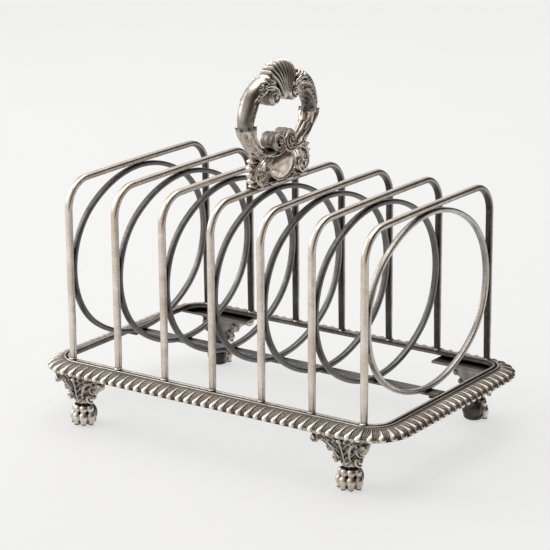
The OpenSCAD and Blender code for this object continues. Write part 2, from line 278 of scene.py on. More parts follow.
def aged_silver(name, *, base, attribute, rough, bump, bright=(0.84, 0.79, 0.71),
                dull=(0.30, 0.272, 0.245), deep=(0.052, 0.045, 0.040), warm=(0.64, 0.46, 0.31),
                warmth=0.35, rough_dull=0.42, cavity=0.9, cavity_reach=1.6, patches=0.25,
                scratches=0.6):
    """Silver that goes from bright (with warm patches) through dull to deep as it tarnishes.

    Tarnish adds up from base, the mesh attribute (which also holds painted shade and painted
    reflection in places), cavities within cavity_reach mm, and patches.
    """
    material = bpy.data.materials.new(name)
    material.use_nodes = True
    material.node_tree.nodes.clear()
    sh = Shader(material.node_tree)
    output = sh.new("ShaderNodeOutputMaterial")
    bsdf = sh.new("ShaderNodeBsdfPrincipled")
    sh.link(bsdf.outputs[0], output.inputs[0])
    coords = sh.new("ShaderNodeTexCoord")
    to_mm = sh.new("ShaderNodeMapping")
    to_mm.inputs["Scale"].default_value = (1000, 1000, 1000)
    sh.link(coords.outputs["Object"], to_mm.inputs["Vector"])
    place = to_mm.outputs[0]

    broad = sh.ramp(sh.noise(place, 0.075, 4.0, 0.6, distortion=0.6), 0.36, 0.66)
    middling = sh.ramp(sh.noise(place, 0.5, 4.0, 0.6), 0.35, 0.7)
    fine = sh.noise(place, 3.2, 4.0, 0.7)
    occlusion = sh.new("ShaderNodeAmbientOcclusion")
    occlusion.samples = 8
    occlusion.inputs["Distance"].default_value = cavity_reach * MM
    hollow = sh.calc("POWER", sh.sub(1.0, occlusion.outputs["AO"], clamp=True), 1.15)
    # per-vertex value: tarnish, and on some parts painted shade and painted reflection
    painted = sh.new("ShaderNodeAttribute")
    painted.attribute_name = "tarnish_and_shade"

    tarnish = sh.mul(hollow, cavity * 1.5)
    tarnish = sh.add(tarnish, sh.mul(painted.outputs["Fac"], attribute))
    tarnish = sh.add(tarnish, sh.mul(sh.add(broad, middling), patches * 0.5))
    tarnish = sh.add(tarnish, sh.mul(sh.sub(fine, 0.5), 0.16))
    tarnish = sh.add(tarnish, base, clamp=True)

    to_dull = sh.mul(tarnish, 1.7, clamp=True)
    to_deep = sh.mul(sh.sub(tarnish, 0.5), 2.0, clamp=True)
    clean = sh.mix(sh.mul(broad, warmth), bright, warm)
    sh.link(sh.mix(to_deep, sh.mix(to_dull, clean, dull), deep), bsdf.inputs["Base Color"])
    bsdf.inputs["Metallic"].default_value = 1.0

    # roughness: worn polish with streaks stretched along one direction
    stretch = sh.new("ShaderNodeMapping")
    stretch.inputs["Scale"].default_value = (5200, 5200, 420)
    stretch.inputs["Rotation"].default_value = (0.25, 0.1, 0.4)
    sh.link(coords.outputs["Object"], stretch.inputs["Vector"])
    streaks = sh.noise(stretch.outputs[0], 1.0, 3.0, 0.6)
    worn = sh.add(rough, sh.mul(to_dull, rough_dull - rough))
    worn = sh.add(worn, sh.mul(sh.sub(streaks, 0.5), 0.22 * scratches))
    worn = sh.add(worn, sh.mul(middling, 0.06), clamp=True)
    sh.link(worn, bsdf.inputs["Roughness"])

    # bump: waviness, pits and hairline scratches
    relief = sh.add(sh.mul(sh.noise(place, 0.45, 2.0), 1.0), sh.mul(fine, 0.22))
    relief = sh.add(relief, sh.mul(streaks, 0.12 * scratches))
    bumps = sh.new("ShaderNodeBump")
    bumps.inputs["Strength"].default_value = bump
    bumps.inputs["Distance"].default_value = 0.12 * MM
    sh.link(relief, bumps.inputs["Height"])
    sh.link(bumps.outputs[0], bsdf.inputs["Normal"])
    return material


WIRE_SILVER = aged_silver(
    "aged_silver_wire", base=0.03, attribute=1.0, rough=0.18, rough_dull=0.36, warmth=0.6,
    patches=0.18, bump=0.16, scratches=0.5, bright=(0.88, 0.825, 0.745))
RING_SILVER = aged_silver(
    "aged_silver_ring", base=0.44, attribute=0.75, rough=0.15, rough_dull=0.32,
    dull=(0.26, 0.25, 0.245), patches=0.2, bump=0.2)
FRAME_SILVER = aged_silver(
    "aged_silver_frame", base=0.22, attribute=0.7, rough=0.2, warmth=0.5, bump=0.22)
BORDER_SILVER = aged_silver(
    "aged_silver_border", base=0.06, attribute=0.85, rough=0.15, cavity_reach=1.0, cavity=0.55,
    bright=(0.90, 0.85, 0.78), warmth=0.55, patches=0.2, bump=0.3)
HANDLE_SILVER = aged_silver(
    "aged_silver_handle", base=0.0, attribute=1.0, rough=0.14, rough_dull=0.34,
    cavity_reach=1.2, cavity=0.85, bright=(0.95, 0.905, 0.84), warmth=0.8, patches=0.24,
    bump=0.2, scratches=0.4)
CAST_SILVER = aged_silver(
    "aged_silver_cast", base=0.07, attribute=1.0, rough=0.14, rough_dull=0.36,
    cavity_reach=1.5, cavity=1.45, bright=(0.88, 0.83, 0.755), warmth=0.7, patches=0.22,
    bump=0.22, scratches=0.4)


# ---------------------------------------------------------------- hoops
HOOP_DEPTH, HOOP_WIDTH = 2.5, 2.9       # in the hoop's plane, along X
BEND = 12.0                             # bend radius at the middle of the wire


def hoop_path():
    """Points (y, z) and outward normals: up the front leg, over, and down the back leg."""
    mid = BAR_TOP - HOOP_DEPTH / 2
    path, normals = [], []
    for z in np.linspace(FRAME_TOP - 0.35, mid - BEND, 60):
        path.append((-LEG_Y, z))
        normals.append((-1, 0))
    for degrees in np.linspace(0, 90, 30)[1:]:
        c, s = math.cos(math.radians(degrees)), math.sin(math.radians(degrees))
        path.append((-(LEG_Y - BEND) - BEND * c, mid - BEND + BEND * s))
        normals.append((-c, s))
    side = len(path)
    for y in np.linspace(-(LEG_Y - BEND), LEG_Y - BEND, 60)[1:-1]:
        path.append((y, mid))
        normals.append((0, 1))
    path += [(-y, z) for y, z in path[:side]][::-1]
    normals += [(-y, z) for y, z in normals[:side]][::-1]
    return np.array(path, float), np.array(normals)


def build_hoop(k):
    path, normals = hoop_path()
    count = len(path)
    x_mid = HOOP_X[k - 1]
    outline = section(HOOP_WIDTH / 2, HOOP_DEPTH / 2, 2.5, 4.2, 30)
    height = path[:, 1] - FRAME_TOP
    # legs thin down towards the frame, and the top bar has a faint arch
    scale = 0.89 + 0.11 * np.clip(height / 16, 0, 1) ** 0.8
    arch = np.clip(1 - (path[:, 0] / (LEG_Y - 6)) ** 2, 0, 1)
    path[:, 1] += 0.35 * arch * (height > 60)
    # uneven wire, but true at its feet
    along = np.zeros((count, 3))
    along[:, 0] = np.linspace(0, 1, count) * 9 + k * 7
    free = np.clip(height / 20, 0, 1)
    offset = np.zeros((count, 3))
    offset[:, 0] = 0.16 * value_noise(along, 50 + k, 1.6) * free
    offset[:, 1] = 0.10 * value_noise(along, 90 + k, 1.3) * free
    wire = sweep_yz(path, normals, outline, scale, x_mid, offset, closed=False)

    inner = np.clip(-outline[:, 1] / (HOOP_DEPTH / 2), 0, 1)[None, :]
    right = np.clip(outline[:, 0] / (HOOP_WIDTH / 2), 0, 1)[None, :]
    back = np.clip(path[:, 0] / LEG_Y, 0, 1)[:, None]
    foot = np.clip(1 - height / 9, 0, 1)[:, None]
    # the inner faces, the back legs and the lowest 9 mm are darker; the +X side (right) is painted
    # darker as well, as painted shade standing in for the dark room that side reflects
    wire_tarnish_and_shade = 0.42 * inner + 0.1 * right + 0.42 * back * (0.5 + 0.5 * inner) + 0.175 * foot

    parts, tarnish = [wire], [wire_tarnish_and_shade.ravel()]
    for side in (-1, 1):
        verts, faces = solder((x_mid, side * (LEG_Y + 0.3), FRAME_TOP - 0.15), (1.62, 1.7, 0.7),
                              7 * k + side, 0.16)
        verts[:, 2] = np.maximum(verts[:, 2], FRAME_TOP - 1.4)
        parts.append((verts, faces))
        tarnish.append(np.full(len(verts), 0.12))
    make_piece(f"wire_hoop_{k}", join(parts), np.concatenate(tarnish), WIRE_SILVER, 70,
               f"hoop_{k}")


# ---------------------------------------------------------------- oval rings
RING_DEPTH, RING_WIDTH = 2.1, 2.6       # in the ring's plane, along X


def oval_path(half_y, half_z, side_centre, step=0.55):
    """Four tangent arcs; the side arcs are centred at y = +-side_centre."""
    rest = side_centre - (half_y - half_z)
    drop = (side_centre * side_centre - rest * rest) / (2 * rest)   # centre of the top arc
    joint = math.atan2(side_centre, drop)
    quarter, half_turn = math.pi / 2, math.pi
    arcs = [  # centre, radius, first and last angle
        ((side_centre, 0.0), half_y - side_centre, -(quarter - joint), quarter - joint),
        ((0.0, -drop), half_z + drop, quarter - joint, quarter + joint),
        ((-side_centre, 0.0), half_y - side_centre, quarter + joint, 3 * half_turn / 2 - joint),
        ((0.0, drop), half_z + drop, 3 * half_turn / 2 - joint, 3 * half_turn / 2 + joint),
    ]
    path, normals = [], []
    for (y, z), radius, first, last in arcs:
        count = max(8, int(radius * (last - first) / step))
        for i in range(count):
            angle = first + (last - first) * i / count
            c, s = math.cos(angle), math.sin(angle)
            path.append((y + radius * c, z + radius * s))
            normals.append((c, s))
    return np.array(path), np.array(normals)


def build_ring(k):
    half_y, half_z = RING_HALF_Y - RING_DEPTH / 2, RING_HALF_Z - RING_DEPTH / 2
    path, normals = oval_path(half_y, half_z, 12.5 * (half_y - half_z) / 8.45)
    path[:, 1] += RING_MID_Z
    count = len(path)
    x_mid = HOOP_X[k - 1]
    outline = section(RING_WIDTH / 2, RING_DEPTH / 2, 3.4, 3.4, 28)
    angle = np.arange(count) / count * 2 * math.pi
    around = np.stack([np.cos(angle) * 2, np.sin(angle) * 2, np.full(count, k * 3.0)], 1)
    offset = np.zeros((count, 3))
    offset[:, 0] = 0.12 * value_noise(around, 200 + k, 1.2)
    ring = sweep_yz(path, normals, outline, np.ones(count), x_mid, offset, closed=True)

    inner = np.clip(-outline[:, 1] / (RING_DEPTH / 2), 0, 1)[None, :]
    outer = np.clip(outline[:, 1] / (RING_DEPTH / 2), 0, 1)[None, :]
    ring_tarnish = 0.15 + 0.25 * outer + 0.12 * inner
    ring_tarnish = ring_tarnish + (0.12 * value_noise(around, 300 + k, 0.8))[:, None]
    if k == 7:  # the right end ring is the brightest
        ring_tarnish -= 0.46 + (0.2 * value_noise(around, 77, 1.1))[:, None]

    parts, tarnish = [ring], [ring_tarnish.ravel()]
    # solder where the ring meets the legs, the strip and the bar
    for y, z, radii in ((-RING_HALF_Y - 0.1, RING_MID_Z, (0.9, 0.9, 3.6)),
                        (RING_HALF_Y + 0.1, RING_MID_Z, (0.9, 0.9, 3.6)),
                        (0, RING_MID_Z - RING_HALF_Z, (1.15, 2.6, 0.8)),
                        (0, RING_MID_Z + RING_HALF_Z, (1.0, 3.4, 0.6))):
        parts.append(solder((x_mid, y, z), radii, int(17 * k + z), 0.2))
        tarnish.append(np.full(len(parts[-1][0]), 0.45))
    make_piece(f"oval_ring_{k}", join(parts), np.concatenate(tarnish), RING_SILVER, 70,
               f"ring_{k}")


# ---------------------------------------------------------------- the way round the frame
# Distances run anticlockwise from the middle of the front left corner, along mid border.
HALF_CORNER = (IN_RADIUS + 7.0) * math.pi / 4


def frame_way():
    """Segments (centre from, centre to, facing from, facing to, length), facings in degrees."""
    corners = [(-CORNER_X, -CORNER_Y), (CORNER_X, -CORNER_Y),
               (CORNER_X, CORNER_Y), (-CORNER_X, CORNER_Y)]
    way = []
    for side, length in enumerate((2 * CORNER_X, 2 * CORNER_Y) * 2):
        here, there = corners[side], corners[(side + 1) % 4]
        facing = 270 + 90 * side
        way += [(here, here, facing - 45, facing, HALF_CORNER),
                (here, there, facing, facing, length),
                (there, there, facing, facing + 45, HALF_CORNER)]
    return way


WAY = frame_way()
WAY_LENGTH = sum(segment[-1] for segment in WAY)
# distances to the middles of the other corners
FRONT_RIGHT = 2 * HALF_CORNER + 2 * CORNER_X
BACK_RIGHT = FRONT_RIGHT + 2 * HALF_CORNER + 2 * CORNER_Y
BACK_LEFT = BACK_RIGHT + 2 * HALF_CORNER + 2 * CORNER_X


def way_points(distances):
    """Points on the frame's inner edge, and outward normals."""
    points = np.zeros((len(distances), 2))
    normals = np.zeros((len(distances), 2))
    start = 0.0
    for here, there, facing_from, facing_to, length in WAY:
        chosen = (distances >= start - 1e-9) & (distances < start + length)
        f = (distances[chosen] - start) / length
        facing = np.radians(facing_from + f * (facing_to - facing_from))
        normal = np.stack([np.cos(facing), np.sin(facing)], 1)
        centre = np.array(here) + f[:, None] * np.subtract(there, here)
        points[chosen] = centre + IN_RADIUS * normal
        normals[chosen] = normal
        start += length
    return points, normals


def way_samples(line_step, arc_step):
    samples = []
    start = 0.0
    for here, there, _, _, length in WAY:
        count = round(length / (arc_step if here == there else line_step))
        samples += [start + length * i / count for i in range(count)]
        start += length
    return np.array(samples)


def around_way(points, normals, across, height):
    """Vertices at places across and height (rows follow the way)."""
    verts = np.zeros((*height.shape, 3))
    verts[..., :2] = points[:, None] + normals[:, None] * across[..., None]
    verts[..., 2] = height
    return verts.reshape(-1, 3)


# ---------------------------------------------------------------- reeded frame
def arc_points(x, z, radius, first, last, count):
    angles = [math.radians(first + (last - first) * i / count) for i in range(count + 1)]
    return [(x + radius * math.cos(a), z + radius * math.sin(a)) for a in angles]


def frame_profile():
    """(outward from the inner edge, height from the frame top) round the moulding."""
    profile = [(0.25, -2.5), (0.02, -2.25), (0.0, -1.6)]
    profile += arc_points(0.78, -0.82, 0.78, 180, 0, 14)                # inner reed
    profile += [(1.62, -1.15), (1.75, -1.3), (2.05, -1.3), (2.18, -1.15), (2.22, -0.85)]
    profile += arc_points(2.6, -0.82, 0.38, 170, 10, 8)                 # outer, smaller reed
    profile += [(3.02, -0.98)]
    profile += [(3.1 + 1.75 * f, -0.98 - 0.72 * math.sin(math.pi * f * 0.5) ** 1.2)
                for f in np.linspace(0, 1, 9)]
    profile += [(5.0, -2.0), (7.2, -3.0), (7.2, -3.6), (7.0, -3.78), (4.1, -3.78), (3.9, -3.6),
                (3.2, -2.6), (3.0, -2.5)]
    return np.array(profile)


def build_frame():
    across, height = frame_profile().T
    distances = way_samples(line_step=2.0, arc_step=0.5)
    points, normals = way_points(distances)
    rows, cols = len(distances), len(across)
    turn = distances / WAY_LENGTH * 6.283
    wave = 0.05 * value_noise(np.stack([np.cos(turn) * 9, np.sin(turn) * 9, 0 * turn], 1), 5, 0.8)
    heights = FRAME_TOP + height[None, :] + wave[:, None] * (height > -1.7)[None, :]
    verts = around_way(points, normals, across[None, :], heights)

    tarnish = np.zeros((rows, cols))
    tarnish[:, (across > 1.55) & (across < 2.25) & (height > -1.4)] = 0.75  # groove
    tarnish[:, (across >= 3.0) & (height > -1.9)] = 0.42
    tarnish[:, height < -1.95] = 0.5
    tarnish[:, :4] = 0.62
    tarnish[:, 4] = 0.45
    # the back and the left end are duller, over the inner reed and the groove
    dull = (np.clip((points[:, 1] - 36) / 8, 0, 1) * 0.5
            + np.clip((-points[:, 0] - 58) / 6, 0, 1) * 0.22)
    tarnish[:, 3:24] += np.clip(dull, 0, 0.5)[:, None]
    make_piece("reeded_frame", (verts, grid_faces(rows, cols, True, True)), tarnish.ravel(),
               FRAME_SILVER, 50, "base_frame")


# ---------------------------------------------------------------- gadroon border
LOBES = round(WAY_LENGTH / 4.26)
LOBE_PITCH = WAY_LENGTH / LOBES


def lean_of(distance):
    """+1 on the front and left, -1 on the right and back, turning over at two corners."""
    reach = HALF_CORNER * 1.1

    def turn_over(corner):
        x = np.clip((distance - (corner - reach)) / (2 * reach), 0, 1)
        return x * x * (3 - 2 * x)

    return 1 - 2 * turn_over(FRONT_RIGHT) + 2 * turn_over(BACK_LEFT)


def gadroon_relief(distance, v):
    """Relief in mm and tarnish; v goes across from 0 at the inside to 1 at the outside."""
    lobe_count = distance / WAY_LENGTH * LOBES - lean_of(distance) * 0.42 * (1 - v) ** 1.5
    x = (lobe_count - np.floor(lobe_count) - 0.5) * LOBE_PITCH
    round_end = np.where(v > 0.86, np.sqrt(np.clip(1 - ((v - 0.86) / 0.17) ** 2, 0.0, 1)), 1.0)
    width = np.maximum((0.44 + 0.98 * np.clip(v / 0.8, 0, 1) ** 1.5) * round_end, 0.02)
    height = (0.48 + 0.60 * np.clip(v / 0.75, 0, 1) ** 1.2) * round_end
    height = height * np.clip(v / 0.16, 0, 1) ** 0.6
    crown = np.clip(1 - (x / width) ** 2, 0, 1)
    # thin reeds in the room between the lobes
    room = crown <= 0
    gap = np.maximum(2 * (LOBE_PITCH / 2 - width), 1e-3)
    place = np.clip(np.where(x > 0, (x - width) / gap, 1 + (x + width) / gap), 0, 1)
    reed = 0.40 * (0.4 + 0.6 * np.sin(math.pi * np.clip(v / 0.9, 0, 1)) ** 0.5)
    reed = reed * np.abs(np.sin(math.pi * 3 * place)) ** 0.8
    reed = reed * np.clip(v / 0.08, 0, 1) * np.clip((0.97 - v) / 0.12, 0, 1)
    relief = np.where(room, reed, height * crown ** 0.55)
    # bright at the fat end and along the crest, dull on the flanks and towards the thin end
    worn = np.clip((v - 0.42) / 0.4, 0, 1)
    flank = 0.56 - 0.46 * crown - 0.34 * worn * crown ** 0.5 + 0.22 * np.clip(1 - v / 0.4, 0, 1)
    return relief, np.where(room, 1.0 - 1.7 * reed, flank)


# place across 0..1, outward from the frame's inner edge, height from the frame top
BORDER_SECTION = np.array([
    (0.0, 3.5, -1.25), (0.15, 4.4, -1.45), (0.30, 5.5, -1.85), (0.50, 6.9, -2.45),
    (0.70, 8.1, -3.15), (0.85, 8.85, -3.85), (0.94, 9.12, -4.4), (1.0, 9.2, -4.85)])


def border_section(v):
    """Smoothed section at v: outward, height, and its normal's two components."""
    fine = np.linspace(0, 1, 401)
    kernel = np.hanning(49)
    kernel /= kernel.sum()

    def smooth(column):
        values = np.interp(fine, BORDER_SECTION[:, 0], BORDER_SECTION[:, column])
        return np.convolve(np.pad(values, 24, mode="reflect", reflect_type="odd"), kernel, "valid")

    outward, height = smooth(1), smooth(2)
    normal_out = -np.interp(v, fine, np.gradient(height))
    normal_up = np.interp(v, fine, np.gradient(outward))
    length = np.hypot(normal_out, normal_up)
    return (np.interp(v, fine, outward), np.interp(v, fine, height),
            normal_out / length, normal_up / length)


def build_border(side, start, end):
    rows = round((end - start) / LOBE_PITCH * (30))
    distances = np.linspace(start + 0.03, end - 0.03, rows)
    points, normals = way_points(distances)
    v = np.linspace(0, 1, 32)
    outward, height, normal_out, normal_up = border_section(v)
    relief, dark = gadroon_relief(*np.meshgrid(distances, v, indexing="ij"))
    # one plain column before the relief and three after it close the back
    cols = len(v) + 4
    plain = [0, -3, -2, -1]
    across, heights = np.zeros((rows, cols)), np.zeros((rows, cols))
    across[:, 1:-3] = outward + normal_out * relief
    across[:, plain] = (4.5, 8.7, 7.2, 7.2)
    heights[:, 1:-3] = height + normal_up * relief
    heights[:, plain] = (-3.0, -4.95, -4.95, -3.4)
    tarnish = np.full((rows, cols), 0.6)
    tarnish[:, 1:-3] = dark
    verts = around_way(points, normals, across, FRAME_TOP + heights)
    make_piece("border_" + side, (verts, capped_grid(rows, cols)), tarnish.ravel(),
               BORDER_SILVER, 75, "gadroon_" + side)


# ---------------------------------------------------------------- strip under the rings
STRIP_THICK = 1.7


def bar_along_x(xs, outline, wide, z_mid, thick):
    """A level bar whose section is scaled by wide (one value per x) and thick."""
    verts = np.zeros((len(xs), len(outline), 3))
    verts[:, :, 0] = xs[:, None]
    verts[:, :, 1] = outline[:, 0] * wide[:, None]
    verts[:, :, 2] = z_mid + outline[:, 1] * thick
    return verts.reshape(-1, 3), capped_grid(len(xs), len(outline))


def build_strip():
    outline = section(STRIP_HIGH[1], STRIP_THICK / 2, 5.0, 5.0, 28)
    xs = np.linspace(-IN_X + 0.02, IN_X - 0.02, 160)
    uneven = value_noise(np.stack([xs * 0.05, 0 * xs, 0 * xs], 1), 8, 0.5)
    parts = [bar_along_x(xs, outline, 1 + 0.02 * uneven, STRIP_HIGH[2] - STRIP_THICK / 2, 1.0)]
    # thinner lapped ends, under the frame
    for side in (-1, 1):
        xs = side * (IN_X - 4.2 + 8.3 * np.arange(14) / 13)
        parts.append(bar_along_x(xs, outline, np.full(14, 0.98), FRAME_TOP - 1.99, 0.56))
    tarnish = [np.full(len(part[0]), dark) for part, dark in zip(parts, (0.28, 0.4, 0.4))]
    make_piece("ring_strip", join(parts), np.concatenate(tarnish), RING_SILVER, 60,
               "centre_strip")


# ---------------------------------------------------------------- forms for castings
def spline(points, count):
    """Catmull-Rom through the points."""
    points = np.asarray(points, float)
    points = np.vstack([2 * points[0] - points[1], points, 2 * points[-1] - points[-2]])
    spans = len(points) - 3
    out = []
    for i in range(count):
        t = i / (count - 1) * spans
        k = min(int(t), spans - 1)
        t -= k
        a, b, c, d = points[k:k + 4]
        out.append(0.5 * ((2 * b) + (-a + c) * t + (2 * a - 5 * b + 4 * c - d) * t * t
                          + (-a + 3 * b - 3 * c + d) * t ** 3))
    return np.array(out)


def tube(path, radius, up=(1, 0, 0), sides=18, wide=1.0, closed=False):
    """A rod along a path: radius across the path, radius * wide along up.

    radius is one number, one per point, or a tuple (first, last).
    """
    path = np.asarray(path, float)
    rows = len(path)
    if isinstance(radius, tuple):
        radius = np.linspace(*radius, rows)
    radius = np.broadcast_to(np.asarray(radius, float), (rows,))
    if closed:
        tangent = np.roll(path, -1, 0) - np.roll(path, 1, 0)
    else:
        tangent = np.gradient(path, axis=0)
    tangent /= np.linalg.norm(tangent, axis=1)[:, None] + 1e-12
    up = np.array(up, float)
    across = up[None, :] - tangent * (tangent @ up)[:, None]
    across /= np.linalg.norm(across, axis=1)[:, None] + 1e-12
    third = np.cross(tangent, across)
    verts = np.zeros((rows, sides, 3))
    for j in range(sides):
        angle = 2 * math.pi * j / sides
        c, s = math.cos(angle), math.sin(angle)
        verts[:, j] = path + across * (radius * wide * c)[:, None] + third * (radius * s)[:, None]
    verts = verts.reshape(-1, 3)
    faces = grid_faces(rows, sides, closed, True)
    if not closed:
        tip = rows * sides
        last = tip - sides
        verts = np.vstack([verts, path[0], path[-1]])
        faces += [(tip, (j + 1) % sides, j) for j in range(sides)]
        faces += [(tip + 1, last + j, last + (j + 1) % sides) for j in range(sides)]
    return verts, faces


def rod(points, count, radius, **shape):
    """A tube along a spline of count points."""
    return tube(spline(points, count), radius, **shape)


def swelling(thin, extra, start, count):
    """Radii that swell in the middle; start sets how thick the first end is."""
    return thin + extra * np.sin(np.linspace(start, 2.9, count))


def placed(points, side, height, face=1):
    """Points mirrored by side (in Y) and face (in X), and raised by height."""
    return [(face * x, side * y, height + z) for x, y, z in points]


def turned(axis, degrees):
    """Rotation matrix about an axis."""
    k = "xyz".index(axis)
    i, j = (k + 1) % 3, (k + 2) % 3
    c, s = math.cos(math.radians(degrees)), math.sin(math.radians(degrees))
    matrix = np.eye(3)
    matrix[i, i] = matrix[j, j] = c
    matrix[i, j] = -s
    matrix[j, i] = s
    return matrix


def ball(centre, radii, turn=np.eye(3), around=22, down=13):
    verts, faces = unit_sphere(around, down)
    return (verts * np.array(radii)) @ turn.T + np.array(centre), faces


def loft(rings, sides=28, power=2.6):
    """Closed body through level rings (z, centre x, centre y, half x, half y)."""
    verts = []
    for z, x, y, half_x, half_y in rings:
        for j in range(sides):
            angle = 2 * math.pi * j / sides
            verts.append((x + half_x * rounded(math.cos(angle), power),
                          y + half_y * rounded(math.sin(angle), power), z))
    return np.array(verts), capped_grid(len(rings), sides, first_forward=False)


def drum(rows, y, z, sides):
    """Closed body along X through ellipses (x, half y, half z) centred on (y, z)."""
    angles = [2 * math.pi * j / sides for j in range(sides)]
    verts = [(x, y + half_y * math.cos(a), z + half_z * math.sin(a))
             for x, half_y, half_z in rows for a in angles]
    return np.array(verts), capped_grid(len(rows), sides, first_forward=False)


def prism(outline, low, high, axis):
    """Flat plate: (x, y) outline for axis z, (y, z) outline for axis x."""
    verts = [(a, b, t) if axis == "z" else (t, a, b) for t in (low, high) for a, b in outline]
    n = len(outline)
    faces = [tuple(reversed(range(n))), tuple(range(n, 2 * n))]
    faces += [(i, (i + 1) % n, n + (i + 1) % n, n + i) for i in range(n)]
    return np.array(verts), faces


def ridge(k, power):
    """Rounded crests with sharp valleys, one for every unit of k."""
    f = k - math.floor(k)
    return 1 - abs(2 * f - 1) ** power


def curl(centre, radius, width, hand, start, turns, thick, turn=np.eye(3)):
    """A small scroll whose face looks along -Y: a spiral rod round a button."""
    count = 46
    path = []
    for i in range(count):
        f = i / (count - 1)
        r = radius * (1 - 0.78 * f ** 0.9)
        angle = math.radians(start + hand * 360 * turns * f)
        path.append((r * math.cos(angle), -width * 0.5 * f - width * 0.25, r * math.sin(angle)))
    parts = [tube(path, (thick, thick * 0.8), up=(0, 1, 0), sides=12, wide=1.5),
             ball((0, width * 0.2, 0), (radius * 0.86, width, radius * 0.86)),
             ball((0, -width * 0.9, 0), (thick * 1.2, thick, thick * 1.2))]
    return [(verts @ turn.T + np.array(centre), faces) for verts, faces in parts]


# parts of the width and of the radius, across a volute's rim
VOLUTE_RIM = [(-0.43, 0.5), (-0.43, 0.80), (-0.34, 0.95), (-0.16, 0.93), (0, 0.99),
              (0.16, 0.93), (0.34, 0.95), (0.43, 0.80), (0.43, 0.5)]


def volute(y, z, radius, hand, start, width, turns=1.55, band=0.62):
    """A snail: a drum with a raised spiral and an eye on both faces."""
    parts = [drum([(width * w, radius * r, radius * r) for w, r in VOLUTE_RIM], y, z, 44)]
    f = np.arange(60) / 59
    r = radius * 0.95 + (radius * 0.26 - radius * 0.95) * f ** 0.85
    angle = np.radians(start + hand * 360 * turns * f)
    for side in (-1, 1):
        x = side * (width * 0.44 + 0.5 * f)
        path = np.stack([x, y + r * np.cos(angle), z + r * np.sin(angle)], 1)
        parts.append(tube(path, (band, band * 0.72), sides=12))
        parts.append(ball((side * (width * 0.5 + 0.4), y, z), (0.8, radius * 0.22, radius * 0.22)))
    return parts


VOXEL = 0.17 * 1.0


def cast(name, parts, material, tarnish_and_shade_of, keep, floor=None):
    """Joins the forms into one skin with softened joins, thinned to a part (keep) of its faces."""
    verts, faces = join(parts)
    raw_mesh = bpy.data.meshes.new(name + "_raw")
    raw_mesh.from_pydata([tuple(v) for v in verts], [], faces)
    raw_mesh.validate()
    raw_mesh.update()
    bm = bmesh.new()
    bm.from_mesh(raw_mesh)
    bmesh.ops.remove_doubles(bm, verts=bm.verts, dist=1e-5)
    bmesh.ops.recalc_face_normals(bm, faces=bm.faces)
    bm.to_mesh(raw_mesh)
    bm.free()
    raw = bpy.data.objects.new(name + "_raw", raw_mesh)
    bpy.context.scene.collection.objects.link(raw)
    skin = raw.modifiers.new("skin", "REMESH")
    skin.mode = "VOXEL"
    skin.voxel_size = VOXEL
    soften = raw.modifiers.new("soften", "SMOOTH")
    soften.factor = 0.5
    soften.iterations = 1
    thin = raw.modifiers.new("thin", "DECIMATE")
    thin.ratio = keep
    depsgraph = bpy.context.evaluated_depsgraph_get()
    mesh = bpy.data.meshes.new_from_object(raw.evaluated_get(depsgraph))
    bpy.data.objects.remove(raw)
    bpy.data.meshes.remove(raw_mesh)

    coords = read_coords(mesh)
    if floor is not None:
        coords[:, 2] = np.maximum(coords[:, 2], floor)
    mesh.vertices.foreach_set("co", (coords * MM).ravel())
    mesh.polygons.foreach_set("use_smooth", [True] * len(mesh.polygons))
    mesh.name = name
    mesh.materials.clear()
    mesh.materials.append(material)
    set_tarnish_and_shade(mesh, tarnish_and_shade_of(coords))
    mesh.update()
    ob = bpy.data.objects.new(name, mesh)
    bpy.context.scene.collection.objects.link(ob)
    return ob


def read_coords(mesh):
    coords = np.zeros(len(mesh.vertices) * 3)
    mesh.vertices.foreach_get("co", coords)
    return coords.reshape(-1, 3)


# ---------------------------------------------------------------- paw feet
# Each foot is made as the front right one about its own paw: +X to the outside, toes along -Y.
PLATE_TOP = FRAME_TOP - 3.82
FOOT_X, FOOT_Y = 66.4, 47.7

# z, half width of the leaf
KNEE_WIDTH = np.array([(10.6, 3.3), (12, 4.4), (13.3, 5.4), (15, 6.6), (17.5, 9.0),
                       (19.6, 12.0), (21, 13.4), (23, 14.2)])
# z, y at the middle, y at the sides
KNEE_DEPTH = np.array([(10.6, -3.3, -0.6), (13, -3.9, -0.9), (15.5, -4.5, -1.6),
                       (18, -5.3, -2.8), (20.5, -6.4, -4.2), (23, -7.4, -5.0)])
# distance from the toe circle's centre, z, radii
TOE_BALLS = [(3.5, 7.15, (1.72, 1.75, 1.95)), (4.1, 3.75, (1.95, 2.0, 2.45)),
             (3.9, 1.5, (1.5, 1.55, 1.35)), (5.0, 0.95, (0.5, 0.62, 0.7))]
# z, centre x, centre y, half x, half y
ANKLE = [(8.2, 0, 0.3, 3.1, 3.0), (10.2, 0, 0.2, 2.8, 2.8), (12.0, -0.1, 0, 3.4, 3.2)]
KNEE = [(10.8, 0, 0.2, 3.0, 3.0), (13, -0.1, 0.2, 3.9, 3.0), (15.5, -0.4, -0.2, 5.2, 3.0),
        (18, -0.7, -0.8, 7.6, 3.2), (20.5, -1, -1.6, 10.8, 3.4), (22.2, -1, -2.0, 13.2, 3.6),
        (PLATE_TOP - 0.6, -1, -2.2, 14.2, 3.8)]
# x, y, z, radius
FROND_TIPS = [(2.6, -7.3, 21.2, 0.85), (5.6, -6.9, 20.6, 0.8), (8.6, -6.5, 20.3, 0.75),
              (4.3, -5.6, 16.9, 0.65), (6.9, -5.4, 18.3, 0.65), (2.1, -5.4, 14.6, 0.5)]
FLANK_BALLS = [(5.9, -0.4, 14.4, 1.1), (7.6, -1.0, 18.0, 1.3), (9.4, -2.2, 18.9, 1.2),
               (10.6, -1.0, 20.6, 1.3), (4.2, 0.9, 12.2, 1.1), (6.2, 1.2, 15.6, 1.1),
               (8.6, 0.8, 19.0, 1.3)]
